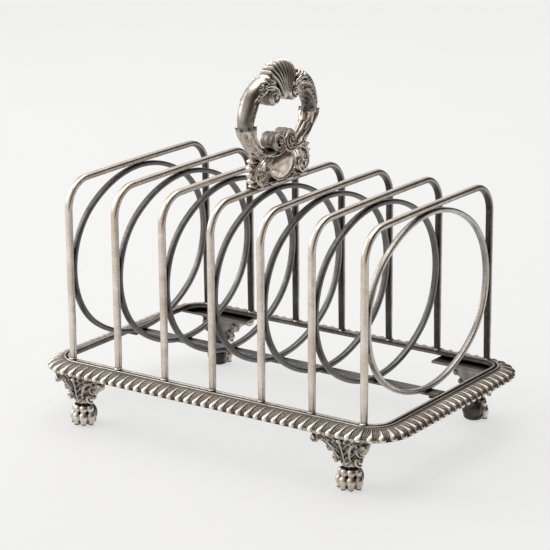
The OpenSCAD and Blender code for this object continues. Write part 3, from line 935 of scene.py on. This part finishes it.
# x before mirroring, shift towards -X after it, y, z
KNEE_RIB = [(12.2, 1, -5.6, 21.9), (9.2, 0.8, -6.4, 21.6), (5.6, 0.6, -6.6, 19.6),
            (3.4, 0.4, -5.6, 16.2), (2.6, 0, -4.6, 13.2)]


def acanthus():
    """Front of the knee: fronds that rise from the midrib and sweep outward, deeply cut."""
    rows, cols = 96, 121
    low, high = 10.7, PLATE_TOP - 0.5
    verts = np.zeros((2, rows, cols, 3))        # front skin, back skin
    for i in range(rows):
        z = low + (high - low) * i / (rows - 1)
        width = np.interp(z, KNEE_WIDTH[:, 0], KNEE_WIDTH[:, 1])
        y_front = np.interp(z, KNEE_DEPTH[:, 0], KNEE_DEPTH[:, 1])
        y_side = np.interp(z, KNEE_DEPTH[:, 0], KNEE_DEPTH[:, 2])
        drift = 0.45 * (z - 11) / 12
        for j in range(cols):
            u = 2 * j / (cols - 1) - 1
            out = abs(u)
            x = u * width
            rise = z - 0.78 * abs(x) * (1 - 0.012 * abs(x)) + 0.5 * math.sin(z * 0.9) * out
            k = (rise - 7.0) / 2.35
            relief = ridge(k, 2.0) * 0.8 + 0.28 * ridge(2 * k + 0.5, 2.0)
            veins = math.sin(6.0 * abs(x) + 1.5 * z) * (0.4 + 0.6 * out)
            relief += 0.30 * veins * ridge(k, 2.0)
            relief *= min(1, out * 5) * (0.85 + 0.25 * out)
            relief += 0.55 * math.exp(-(x / 0.62) ** 2)
            y = y_front + (y_side - y_front) * out ** 2.5 - 1.45 * relief * (1 - 0.45 * out ** 3)
            verts[0, i, j] = (x * (1 + 0.055 * relief * out ** 2) - drift, y, z)
            verts[1, i, j] = (x * 0.86 - drift, max(y, y_side) + 2.6, z)
    n = rows * cols
    front = grid_faces(rows, cols)
    faces = front + [tuple(reversed([k + n for k in face])) for face in front]
    for i in range(rows - 1):
        a, b = i * cols, (i + 1) * cols
        right_a, right_b = a + cols - 1, b + cols - 1
        faces += [(a, b, b + n, a + n), (right_a, right_a + n, right_b + n, right_b)]
    for j in range(cols - 1):
        a = (rows - 1) * cols + j
        faces += [(j, j + n, j + 1 + n, j + 1), (a, a + 1, a + 1 + n, a + n)]
    return verts.reshape(-1, 3), faces


def paw_parts():
    """Four fat toes of two knuckles with a small claw each, round a plump pad."""
    parts = [ball((0, 0.5, 4.9), (4.1, 4.0, 4.6), around=36, down=22),
             ball((0, 1.6, 4.6), (4.7, 3.9, 4.6), around=36, down=22),
             ball((0, 0.8, 1.6), (4.4, 4.2, 1.9), around=36, down=18)]
    for degrees in (-66, -22, 22, 66):
        x, y = math.sin(math.radians(degrees)), -math.cos(math.radians(degrees))
        for reach, z, radii in TOE_BALLS:
            parts.append(ball((x * reach, y * reach, z), radii, turned("z", degrees)))
    return parts


def knee_side(s):
    """Leaves and scrolls on one side of the knee: s is +1 outside, -1 inside."""
    parts = [ball((s * x - 0.5, y, z), (r, r * 0.8, r * 0.75), turned("y", s * 20))
             for x, y, z, r in FROND_TIPS]
    # scroll under the end of the plate, and the rib down from it
    parts += curl((s * 12.4 - 0.8, -5.2, 20.0), radius=2.05, width=1.7, hand=s, start=90,
                  turns=1.35, thick=0.56)
    parts.append(rod([(s * x - shift, y, z) for x, shift, y, z in KNEE_RIB], 36,
                     swelling(0.28, 0.3, 0.4, 36), sides=10, wide=1.3))
    # rolled leaves on the flanks
    rolled = dict(radius=2.0, width=1.7, turns=1.2, thick=0.62, turn=turned("z", s * 52))
    parts += curl((s * 4.9, -2.1, 12.7), hand=-s, start=-60 if s > 0 else 240, **rolled)
    parts += curl((s * 7.0 - 0.2, -2.8, 16.7), hand=s, start=100, **rolled)
    parts += [ball((s * x - 0.3, y, z), (r, r, r * 1.1)) for x, y, z, r in FLANK_BALLS]
    return parts


def knee_parts():
    ring = [(3.3 * math.cos(t), 0.1 + 3.3 * math.sin(t), 10.5 + 0.2 * math.sin(t))
            for t in np.linspace(0, 2 * math.pi, 49)[:-1]]
    midrib = [(0, -4.2, 11.2), (-0.1, -5.1, 14.2), (-0.4, -6.2, 18), (-0.6, -7.8, 21.4)]
    parts = [loft(ANKLE, power=2.0),
             tube(ring, 0.66, up=(0, 0, 1), sides=14, closed=True),
             loft(KNEE, sides=40),
             acanthus(),
             rod(midrib, 30, (0.42, 0.62), sides=12),
             ball((-0.6, -7.6, 21.4), (1.5, 1.0, 0.9), turned("x", 25))]     # leaf tip
    return parts + knee_side(-1) + knee_side(1)


def foot_parts(turn, squeeze):
    """The paw is turned by some degrees; the outer half of the knee is narrowed by squeeze."""
    turn = turned("z", turn)
    parts = [(verts @ turn.T, faces) for verts, faces in paw_parts()]
    for verts, faces in knee_parts():
        narrow = 1 - squeeze * np.clip((verts[:, 2] - 12.5) / 7, 0, 1)
        verts[:, 0] *= np.where(verts[:, 0] > 0, narrow, 1.0)
        parts.append((verts, faces))
    # plate under the border, rounded at its outer front corner
    edge = [(-18.2, -8.0)]
    edge += [(3.8 + 17.0 * math.sin(math.radians(a)), 9.0 - 17.0 * math.cos(math.radians(a)))
             for a in range(0, 47, 4)]
    edge += [(16.2, -2.6), (16.2, 5.6), (-18.2, 5.6)]
    parts.append(prism(edge, PLATE_TOP - 1.1, PLATE_TOP, "z"))
    return parts


def foot_darkening(coords):
    y, z = coords[:, 1], coords[:, 2]
    # the plain backs are darker, most of all low down, and so is the very bottom
    tarnish = 0.02 + (0.80 - 0.42 * np.clip((z - 11) / 6, 0, 1)) * np.clip((y + 0.2) / 3.2, 0, 1)
    tarnish += 0.25 * np.clip((1.6 - z) / 1.6, 0, 1)
    tarnish += 0.30 * (np.abs(z - 9.3) < 0.5)
    tarnish += 0.14 * np.clip((z - 11.5) / 2.0, 0, 1)
    return tarnish


def build_foot(place, side_x, side_y, turn, squeeze):
    ob = cast("paw_foot_" + place, foot_parts(turn, squeeze), CAST_SILVER, foot_darkening,
              keep=0.32, floor=0.0)
    coords = read_coords(ob.data)
    coords[:, 0] = side_x * (coords[:, 0] + FOOT_X * MM)
    coords[:, 1] = -side_y * (coords[:, 1] - FOOT_Y * MM)
    ob.data.vertices.foreach_set("co", coords.ravel())
    if side_x * side_y > 0:             # mirrored once
        ob.data.flip_normals()
    ob.data.update()
    register(ob, "foot_" + place)


# ---------------------------------------------------------------- handle ring
# Heights are from the top of the handle. (y, z) down one side of the ring:
RING_SIDE = [(0, -8.6), (5, -8.3), (9.4, -8.6), (14.8, -10.2), (19.1, -13.2), (21.7, -17.8),
             (22.6, -22.4), (21.5, -27.9), (18.7, -32.3), (15.3, -35.7), (11.6, -38.2)]
COLLAR_Z = -26.0                        # leaf collars
UPPER_VOLUTE = (6.9, -14.4)             # y, z beside the point of the shell
LOWER_VOLUTE = (4.35, -33.4)            # y, z where the ring closes
SHELL_POINT = HANDLE_TOP - 16.6
SHELL_RADIUS = 16.45
SHELL_HALF_ANGLE = math.radians(37)
SHELL_FLUTES = 4.5                      # on each side of the middle

CREST_BALLS = [(10.4, -6.5, 1.7), (13.2, -7.7, 1.5), (16.0, -9.5, 1.3)]        # y, z, radius
CREST_LEAVES = [(10.6, -5.0), (12.7, -5.9), (14.8, -7.2), (17.0, -9.0)]        # y, z
# x, y, z
LIMB_BAND = [(0, 18.6, -17.0), (0, 16.4, -13.2), (0, 13.6, -11.2), (0, 10.6, -10.6),
             (0, 8.2, -11.0)]
FACE_BAND = [(2.9, 19.4, -14.6), (3.3, 16.6, -10.9), (3.7, 12.6, -9.2), (4.1, 8.6, -9.7),
             (4.2, 5.6, -11.6)]


def limb_parts(side):
    """One side of the ring: smooth above the collar, a ribbed stem below, and its leaves."""
    rows, cols = 150, 44
    path = spline(RING_SIDE, rows)
    tangent = np.gradient(path, axis=0)
    tangent /= np.linalg.norm(tangent, axis=1)[:, None]
    normal = np.stack([-tangent[:, 1], tangent[:, 0]], 1)
    steps = np.linalg.norm(np.diff(path, axis=0), axis=1)
    length = np.concatenate([[0], np.cumsum(steps)])
    collar = int(np.argmin(np.abs(path[:, 1] - COLLAR_Z) + (path[:, 0] < 15) * 99))
    verts = np.zeros((rows, cols, 3))
    for i in range(rows):
        d = length[i] - length[collar]          # + below the collar
        for j in range(cols):
            angle = 2 * math.pi * j / cols      # 0 = +X, a quarter turn = outward
            if d < 0:
                r = 3.3 + 0.12 * math.sin(min(-d / 18, 1) * math.pi)
            else:
                r = 3.35 - 0.9 * min(d / 13.5, 1)
                r += 1.0 * ridge((6 * angle / (2 * math.pi)) + 0.06 * d, 1.7) - 0.62
            out = r * math.sin(angle)
            verts[i, j] = (r * math.cos(angle), side * (path[i, 0] + normal[i, 0] * out),
                           HANDLE_TOP + path[i, 1] + normal[i, 1] * out)
    parts = [(verts.reshape(-1, 3), capped_grid(rows, cols))]

    def on(d, angle, r):
        """A point on the limb: d along from the collar, angle round it, r from its middle."""
        place = np.clip(length[collar] + d, 0, length[-1])
        y, z, normal_y, normal_z = (np.interp(place, length, column) for column in
                                    (path[:, 0], path[:, 1], normal[:, 0], normal[:, 1]))
        out = r * math.sin(angle)
        return (r * math.cos(angle), side * (y + normal_y * out),
                HANDLE_TOP + z + normal_z * out)

    # calyx of six ribbed, pointed leaves that flares round the limb
    for q in range(6):
        angle = 2 * math.pi * (q + 0.5) / 6
        leaf = [on(d, angle, r) for d, r in ((4.6, 2.3), (1.6, 2.95), (-0.7, 3.3), (-1.8, 4.35))]
        up = np.subtract(on(0, angle + 0.3, 3.0), on(0, angle - 0.3, 3.0))
        parts.append(rod(leaf, 16, (1.15, 0.28), up=up, sides=12, wide=1.35))
        rib = [on(d, angle, r) for d, r in ((4.4, 3.1), (1.4, 3.8), (-0.9, 4.25))]
        parts.append(rod(rib, 12, (0.38, 0.2), sides=8))
    # a second, smaller whorl half way down the stem
    for q in range(5):
        angle = 2 * math.pi * (q + 0.1) / 5
        leaf = [on(d, angle, r) for d, r in ((10.4, 1.8), (8.0, 2.5), (6.3, 2.9), (5.6, 3.5))]
        parts.append(rod(leaf, 14, (1.1, 0.22), sides=10, wide=1.2))
    # long leaves on the inside of the limb, cut in tips, on both faces
    for face in (1, -1):
        def on_face(d, angle, r):
            return on(d, angle if face > 0 else math.pi - angle, r)

        for d0, d1, first, last in ((-22, -11.0, -52, -2), (-14, -3.0, -58, -10)):
            fs = [e / 25 for e in range(26)]
            leaf = [on_face(d0 + (d1 - d0) * f, math.radians(first + (last - first) * f), 3.3)
                    for f in fs]
            parts.append(tube(leaf, [0.75 * (1 - f) ** 0.6 + 0.22 for f in fs], sides=10,
                              wide=1.3))
            for e in range(4):
                f = 0.12 + 0.22 * e
                angle = math.radians(first + (last - first) * f)
                tip = [on_face(d0 + (d1 - d0) * (f + ahead), angle + turn, r) for ahead, turn, r
                       in ((-0.10, -0.05, 3.2), (0, 0.26, 3.5), (0.13, 0.5, 3.75))]
                parts.append(rod(tip, 12, (0.85, 0.25), sides=10, wide=1.1))
    for d in (-19, -15.6, -12.2, -8.8, -5.4):
        parts.append(ball(on(d, -math.pi / 2, 3.1), (2.2, 0.8, 1.5), turned("x", side * 30)))
    return parts


def shell():
    """Flutes spread from a point on the inner edge and fold over the top."""
    rows, cols = 145, 54
    verts = np.zeros((rows, cols, 3))
    for i, angle in enumerate(np.linspace(-SHELL_HALF_ANGLE, SHELL_HALF_ANGLE, rows)):
        flute = ridge((angle / SHELL_HALF_ANGLE) * SHELL_FLUTES + 0.5, 1.35)
        shrink = 1 - 0.10 * (abs(angle) / SHELL_HALF_ANGLE) ** 2.5
        for j in range(cols):
            fold = math.pi * j / (cols - 1)
            f = math.sin(fold) ** 0.7
            r = SHELL_RADIUS * shrink * (1 - 0.06 * (1 - flute)) * f
            # slim at the point, fullest part way out, rolling over the crest
            thick = 3.9 + 1.5 * math.sin(math.pi * f ** 1.3 * 0.9)
            thick -= 1.3 * (1 - flute) * min(1, f * 1.7)
            verts[i, j] = (thick * rounded(math.cos(fold), 4), r * math.sin(angle),
                           SHELL_POINT + r * math.cos(angle))
    return verts.reshape(-1, 3), grid_faces(rows, cols) + end_caps(rows, cols)


def crest_parts(side):
    """Leaves, volute and bands beside the shell."""
    parts = [ball((0, side * y, HANDLE_TOP + z), (3.4, r, r * 0.85), turned("x", -side * 28))
             for y, z, r in CREST_BALLS]
    for face in (-1, 1):
        for y, z in CREST_LEAVES:
            leaf = [(3.3, y - 2.6, z - 3.2), (3.75, y - 0.8, z - 2.0), (2.9, y - 0.1, z - 1.2)]
            parts.append(rod(placed(leaf, side, HANDLE_TOP, face), 14, (0.3, 0.6), sides=10,
                             wide=1.2))
    y, z = UPPER_VOLUTE
    parts += volute(side * y, HANDLE_TOP + z, radius=3.9, hand=side,
                    start=60 if side > 0 else 120, width=7.8)
    band = spline(placed(LIMB_BAND, side, HANDLE_TOP), 34)
    for x in (-3.1, -1.1, 1.1, 3.1):
        band[:, 0] = x * np.linspace(0.55, 1.05, 34)
        parts.append(tube(band, (0.5, 0.78), sides=12))
    for face in (-1, 1):
        parts.append(rod(placed(FACE_BAND, side, HANDLE_TOP, face), 34,
                         swelling(0.3, 0.42, 0.3, 34), sides=10))
    return parts


def closing_parts(side):
    """Volute where the ring closes, fed by the end of the stem."""
    y, z = LOWER_VOLUTE
    parts = volute(side * y, HANDLE_TOP + z, radius=4.15, hand=-side, start=-90, width=7.8,
                   turns=1.6, band=0.66)
    for x in (-2.4, 0, 2.4):
        strand = [(x * 0.6, 15.8, -35.4), (x, 12.2, -37.2), (x, 8.2, -37.6), (x, 4.6, -37.0),
                  (x, 1.2, -35.4)]
        parts.append(rod(placed(strand, side, HANDLE_TOP), 26, (1.1, 0.75), sides=14))
    return parts


def handle_tarnish_and_shade(coords):
    x, y = coords[:, 0], coords[:, 1]
    z = coords[:, 2] - HANDLE_TOP
    tarnish = 0.02 + 0.10 * np.clip((-z - 22) / 6, 0, 1)
    tarnish += 0.16 * value_noise(coords, 4, 3.5)
    # valleys between the shell's flutes
    above = coords[:, 2] - SHELL_POINT
    angle = np.arctan2(y, above)
    on_shell = (np.abs(angle) < SHELL_HALF_ANGLE) & (z > -15.5) & (np.hypot(y, above) > 2)
    f = angle / SHELL_HALF_ANGLE * SHELL_FLUTES + 0.5
    tarnish += np.where(on_shell, 0.12 + 0.5 * np.abs(2 * (f - np.floor(f)) - 1) ** 3, 0)
    # the volutes' rolls keep their patina between the polished faces
    for (mid_y, mid_z), reach in ((LOWER_VOLUTE, 4.5), (UPPER_VOLUTE, 4.3)):
        near = np.hypot(np.abs(y) - mid_y, z - mid_z) < reach
        tarnish += np.where(near & (np.abs(x) < 2.9), 0.48, 0)
    # painted reflection: the smooth limbs are painted darker than the leaves, in patches, standing
    # in for the dark room they reflect
    limb = (z < -9) & (z > -25.5) & (np.abs(y) > 14)
    patches = np.clip(value_noise(coords * np.array([1.0, 1.0, 0.4]), 12, 2.2), 0, 1)
    tarnish += np.where(limb, 0.34 + 0.34 * patches, 0)
    return tarnish


def build_handle_ring():
    parts = limb_parts(-1) + limb_parts(1) + [shell()]
    parts += crest_parts(-1) + crest_parts(1) + closing_parts(-1) + closing_parts(1)
    parts.append(ball((0, 0, HANDLE_TOP - 36.2), (3.2, 2.6, 1.6)))
    ob = cast("ring_handle", parts, HANDLE_SILVER, handle_tarnish_and_shade, keep=0.34)
    register(ob, "handle_ring")


# ---------------------------------------------------------------- handle bracket
# Heights are from the top of the hoops' bars.
OVAL_HALF_Y, OVAL_HALF_Z = 9.3, 6.5
OVAL_MID_Z = BAR_TOP + 6.9
# x, part of the full oval
OVAL_ROWS = [(-3.0, 0.05), (-2.95, 0.3), (-2.8, 0.52), (-2.55, 0.7), (-2.1, 0.85), (-1.9, 0.9),
             (-1.9, 0.98), (-1.2, 1.02), (0, 1.04), (1.2, 1.02), (1.9, 0.98), (1.9, 0.9),
             (2.1, 0.85), (2.55, 0.7), (2.8, 0.52), (2.95, 0.3), (3.0, 0.05)]
# (y, z) from the cap out, down and round into its own volute
BIG_C = [(1.5, 13.2), (6.6, 13.4), (11.0, 12.4), (14.8, 11.2), (17.9, 8.6), (18.6, 5.0),
         (16.9, 1.9), (13.9, 1.2), (11.8, 3.2), (12.2, 5.8), (14.4, 6.6)]
INNER_RIB = [(6.0, 12.2), (10.2, 11.2), (13.6, 9.8), (16.2, 7.4), (16.8, 4.8)]
OUTER_LEAF = [(10.6, 14.0), (14.2, 13.9), (17.2, 12.4), (19.1, 9.4), (19.4, 5.6), (18.4, 1.6)]
# ties between the oval and the big C: (y, z) points, radius, point count, width
TIES = [([(7.4, 10.6), (9.2, 10.3), (10.6, 11.4)], 0.65, 20, 1.8),
        ([(8.6, 5.4), (10.4, 5.0), (12.0, 4.4)], 0.6, 18, 1.8),
        ([(7.6, 2.7), (9.4, 1.3), (12.6, 0.9)], 0.7, 18, 2.0)]
# lobes along the outer leaf: y, z, tilt in degrees, size
LOBE_TABLE = [(11.4, 14.9, 78, 1.3), (14.6, 14.9, 58, 1.5), (17.4, 13.6, 36, 1.6),
              (19.3, 11.3, 18, 1.55), (20.0, 8.6, 6, 1.45), (20.0, 6.0, -4, 1.5),
              (19.5, 3.3, -12, 1.55), (18.5, 1.0, -24, 1.2)]
# x, y, z from under the ring's volutes out over the scrolls
RIBBON = [(3.3, -0.6, 16.2), (3.4, 0.2, 13.7), (3.1, 3.4, 11.9), (2.8, 8.0, 11.9),
          (2.7, 12.4, 12.8), (2.4, 16.2, 13.0)]
CAP = [(0, -10.5, 13.0), (0, -5, 12.9), (0, 0, 12.4), (0, 5, 12.9), (0, 10.5, 13.0)]


def scroll(points, side, radius, count, wide=1.0, taper=0.6, x=0.0):
    """A rod through (y, z) points, thinning to radius * taper at both ends."""
    swell = taper + (1 - taper) * np.sin(math.pi * np.linspace(0, 1, count))
    path = placed([(x, y, z) for y, z in points], side, BAR_TOP)
    return rod(path, count, radius * swell, sides=14, wide=wide)


def bracket_side(side):
    parts = [scroll(BIG_C, side, 0.8, 72, wide=2.2)]
    for face in (-1, 1):
        parts.append(scroll(BIG_C, side, 0.5, 72, taper=0.75, x=face * 2.15))
        parts.append(scroll(INNER_RIB, side, 0.3, 40, taper=0.5, x=face * 2.0))
    parts += volute(side * 14.8, BAR_TOP + 4.1, radius=2.5, hand=side, start=-90, width=5.4,
                    turns=1.5, band=0.5)
    for points, radius, count, wide in TIES:
        parts.append(scroll(points, side, radius, count, wide))
    # outer leaf, its edge cut in ribbed lobes
    parts.append(scroll(OUTER_LEAF, side, 0.95, 44, wide=1.35))
    for q, (y, z, tilt, size) in enumerate(LOBE_TABLE):
        c, s = math.cos(math.radians(tilt)), math.sin(math.radians(tilt))
        parts.append(ball((0, side * y, BAR_TOP + z), (1.45 + 0.3 * (q % 2), 1.2, size * 0.85),
                          turned("x", side * tilt)))
        rib = [(1.4, y - 2.6 * c, z - 2.2 * s), (1.7, y - 1.1 * c, z - 0.9 * s),
               (1.0, y + 0.8 * c, z + 0.8 * s)]
        for face in (-1, 1):
            parts.append(rod(placed(rib, side, BAR_TOP, face), 14, (0.25, 0.6), sides=10))
    parts += volute(side * 15.6, BAR_TOP + 12.2, radius=1.3, hand=-side, start=30, width=4.6,
                    turns=1.2, band=0.38)
    for face in (-1, 1):
        parts.append(rod(placed(RIBBON, side, BAR_TOP, face), 44, swelling(0.3, 0.3, 0.5, 44),
                         sides=10, wide=1.2))
    return parts


def bracket_tarnish(coords):
    distance = (coords[:, 1] / OVAL_HALF_Y) ** 2 + ((coords[:, 2] - OVAL_MID_Z) / OVAL_HALF_Z) ** 2
    return np.where(distance < 0.9, -0.08, 0.08 + 0.16 * value_noise(coords, 9, 2.0))


def build_bracket():
    """Domed oval between C-scrolls with pierced openings."""
    rows = [(x, OVAL_HALF_Y * k, OVAL_HALF_Z * k) for x, k in OVAL_ROWS]
    parts = [drum(rows, 0, OVAL_MID_Z, 60)]
    for face in (-1, 1):
        rim = [(face * 2.1, OVAL_HALF_Y * 0.95 * math.cos(t),
                OVAL_MID_Z + OVAL_HALF_Z * 0.95 * math.sin(t))
               for t in np.linspace(0, 2 * math.pi, 73)[:-1]]
        parts.append(tube(rim, 0.38, sides=12, closed=True))
    # flat base on the bars
    low, high = BAR_TOP + 0.03, BAR_TOP + 0.7
    base = [(-18.6, low), (18.6, low), (18.6, high), (-18.6, high)]
    parts.append(prism(base, -1.5, 1.5, "x"))
    for face in (-1, 1):
        for y in (-15.2, -5.5, 5.5, 15.2):
            parts.append(ball((face * 1.75, y, BAR_TOP - 0.1), (0.6, 2.6, 1.0)))
    parts += bracket_side(-1) + bracket_side(1)
    parts.append(rod(placed(CAP, 1, BAR_TOP), 40, 0.95, sides=16, wide=2.6))
    ob = cast("scroll_bracket", parts, HANDLE_SILVER, bracket_tarnish, keep=0.36)
    register(ob, "handle_bracket")


# ---------------------------------------------------------------- floor, light and camera
AZIMUTH = math.radians(34.92)           # the camera stands this far round from the front
VIEW_RIGHT = np.array([math.cos(AZIMUTH), math.sin(AZIMUTH), 0.0])


def floor_material():
    material = bpy.data.materials.new("floor_paper")
    material.use_nodes = True
    sh = Shader(material.node_tree)
    bsdf = sh.tree.nodes["Principled BSDF"]
    coords = sh.new("ShaderNodeTexCoord")
    noise = sh.new("ShaderNodeTexNoise")
    noise.inputs["Scale"].default_value = 9.0
    sh.link(coords.outputs["Object"], noise.inputs["Vector"])
    paper = sh.mix(noise.outputs["Fac"], (0.235, 0.235, 0.235), (0.25, 0.25, 0.25))
    sh.link(paper, bsdf.inputs["Base Color"])
    bsdf.inputs["Roughness"].default_value = 0.75
    bsdf.inputs["Specular IOR Level"].default_value = 0.1
    # glows like a light table, so shadows stay faint
    bsdf.inputs["Emission Color"].default_value = (1.0, 1.0, 1.0, 1.0)
    bsdf.inputs["Emission Strength"].default_value = 0.60
    return material


def build_floor():
    """A floor that curves up into a backdrop behind the rack, along the view direction."""
    flat_end, curve, top = 0.9, 0.7, 3.2
    away = np.array([-math.sin(AZIMUTH), math.cos(AZIMUTH)])
    profile = [(-0.45, 0.0), (flat_end, 0.0)]       # distance away, height
    for degrees in range(0, 91, 6):
        t = math.radians(degrees)
        profile.append((flat_end + curve * math.sin(t), curve - curve * math.cos(t)))
    profile.append((flat_end + curve, top))
    verts = []
    for distance, z in profile:
        for across in (-1.1, 0.75):
            x, y = VIEW_RIGHT[:2] * across + away * distance
            verts.append((x, y, z - 0.00002))
    faces = [(2 * i, 2 * i + 1, 2 * i + 3, 2 * i + 2) for i in range(len(profile) - 1)]
    mesh = bpy.data.meshes.new("floor")
    mesh.from_pydata(verts, [], faces)
    mesh.polygons.foreach_set("use_smooth", [True] * len(mesh.polygons))
    ob = bpy.data.objects.new("studio_floor", mesh)
    bpy.context.scene.collection.objects.link(ob)
    mesh.materials.append(floor_material())


def build_world():
    world = bpy.data.worlds.new("room")
    bpy.context.scene.world = world
    world.use_nodes = True
    sh = Shader(world.node_tree)
    background = sh.tree.nodes["Background"]
    coords = sh.new("ShaderNodeTexCoord")
    split = sh.new("ShaderNodeSeparateXYZ")
    sh.link(coords.outputs["Generated"], split.inputs[0])
    x, y, z = split.outputs[:3]
    # soft light from the camera's left and overhead, a warm middle, dark to its right
    leftward = sh.add(sh.mul(x, -0.82), sh.mul(y, -0.57))
    light = sh.add(leftward, sh.mul(z, 0.45))
    to_warm = sh.mul(sh.add(light, 0.42), 1.5, clamp=True)
    to_white = sh.mul(sh.sub(light, 0.30), 2.2, clamp=True)
    colour = sh.mix(to_warm, (0.075, 0.067, 0.062), (0.50, 0.455, 0.40))
    colour = sh.mix(to_white, colour, (0.98, 0.975, 0.965))
    # seen directly, the room is a plain pale backdrop
    path = sh.new("ShaderNodeLightPath")
    colour = sh.mix(path.outputs["Is Camera Ray"], colour, (0.93, 0.93, 0.93))
    sh.link(colour, background.inputs["Color"])
    background.inputs["Strength"].default_value = 0.9


def area_light(name, location, target, size, power, colour=(1.0, 1.0, 1.0)):
    light = bpy.data.lights.new(name, "AREA")
    light.energy = power
    light.color = colour
    light.size = size
    ob = bpy.data.objects.new(name, light)
    bpy.context.scene.collection.objects.link(ob)
    ob.location = location
    aim = Vector(target) - Vector(location)
    ob.rotation_euler = aim.to_track_quat("-Z", "Y").to_euler()


def build_camera():
    elevation, roll = math.radians(16.38), math.radians(-0.44)
    distance = 967.4                    # mm from the target
    target = -1.70 * VIEW_RIGHT + np.array([0, 0, 63.68])
    forward = np.array([-math.sin(AZIMUTH) * math.cos(elevation),
                        math.cos(AZIMUTH) * math.cos(elevation), -math.sin(elevation)])
    level_up = np.cross(VIEW_RIGHT, forward)
    right = math.cos(roll) * VIEW_RIGHT + math.sin(roll) * level_up
    up = -math.sin(roll) * VIEW_RIGHT + math.cos(roll) * level_up
    place = (target - forward * distance) * MM
    camera = bpy.data.cameras.new("camera")
    camera.sensor_width = 36.0
    camera.lens = 153.648
    camera.clip_start = 0.05
    camera.clip_end = 20
    ob = bpy.data.objects.new("camera", camera)
    bpy.context.scene.collection.objects.link(ob)
    rows = [(right[i], up[i], -forward[i], place[i]) for i in range(3)]
    ob.matrix_world = Matrix((*rows, (0, 0, 0, 1)))
    bpy.context.scene.camera = ob


# ---------------------------------------------------------------- build everything
for k in range(1, 8):
    build_hoop(k)
    build_ring(k)
build_frame()
build_border("front", 0, FRONT_RIGHT)
build_border("right", FRONT_RIGHT, BACK_RIGHT)
build_border("back", BACK_RIGHT, BACK_LEFT)
build_border("left", BACK_LEFT, WAY_LENGTH)
build_strip()
build_foot("front_right", 1, -1, turn=12, squeeze=0.16)
build_foot("front_left", -1, -1, turn=-9, squeeze=0.24)
build_foot("back_right", 1, 1, turn=12, squeeze=0.16)
build_foot("back_left", -1, 1, turn=12, squeeze=0.16)
build_handle_ring()
build_bracket()

build_floor()
build_world()
area_light("key_left", location=(-0.85, -0.35, 0.55), target=(0, 0, 0.07), size=0.7, power=5.0,
           colour=(1.0, 0.985, 0.96))
area_light("top", location=(-0.1, 0.15, 1.15), target=(0, 0.1, 0.0), size=1.1, power=5.5)
area_light("back_wash", location=(-0.2, 0.9, 1.3), target=(-0.65, 1.1, 0.2), size=1.2, power=5.0)
build_camera()
view = bpy.context.scene.view_settings
view.view_transform = "Standard"
view.look = "None"
view.exposure = 0.0
view.gamma = 1.0
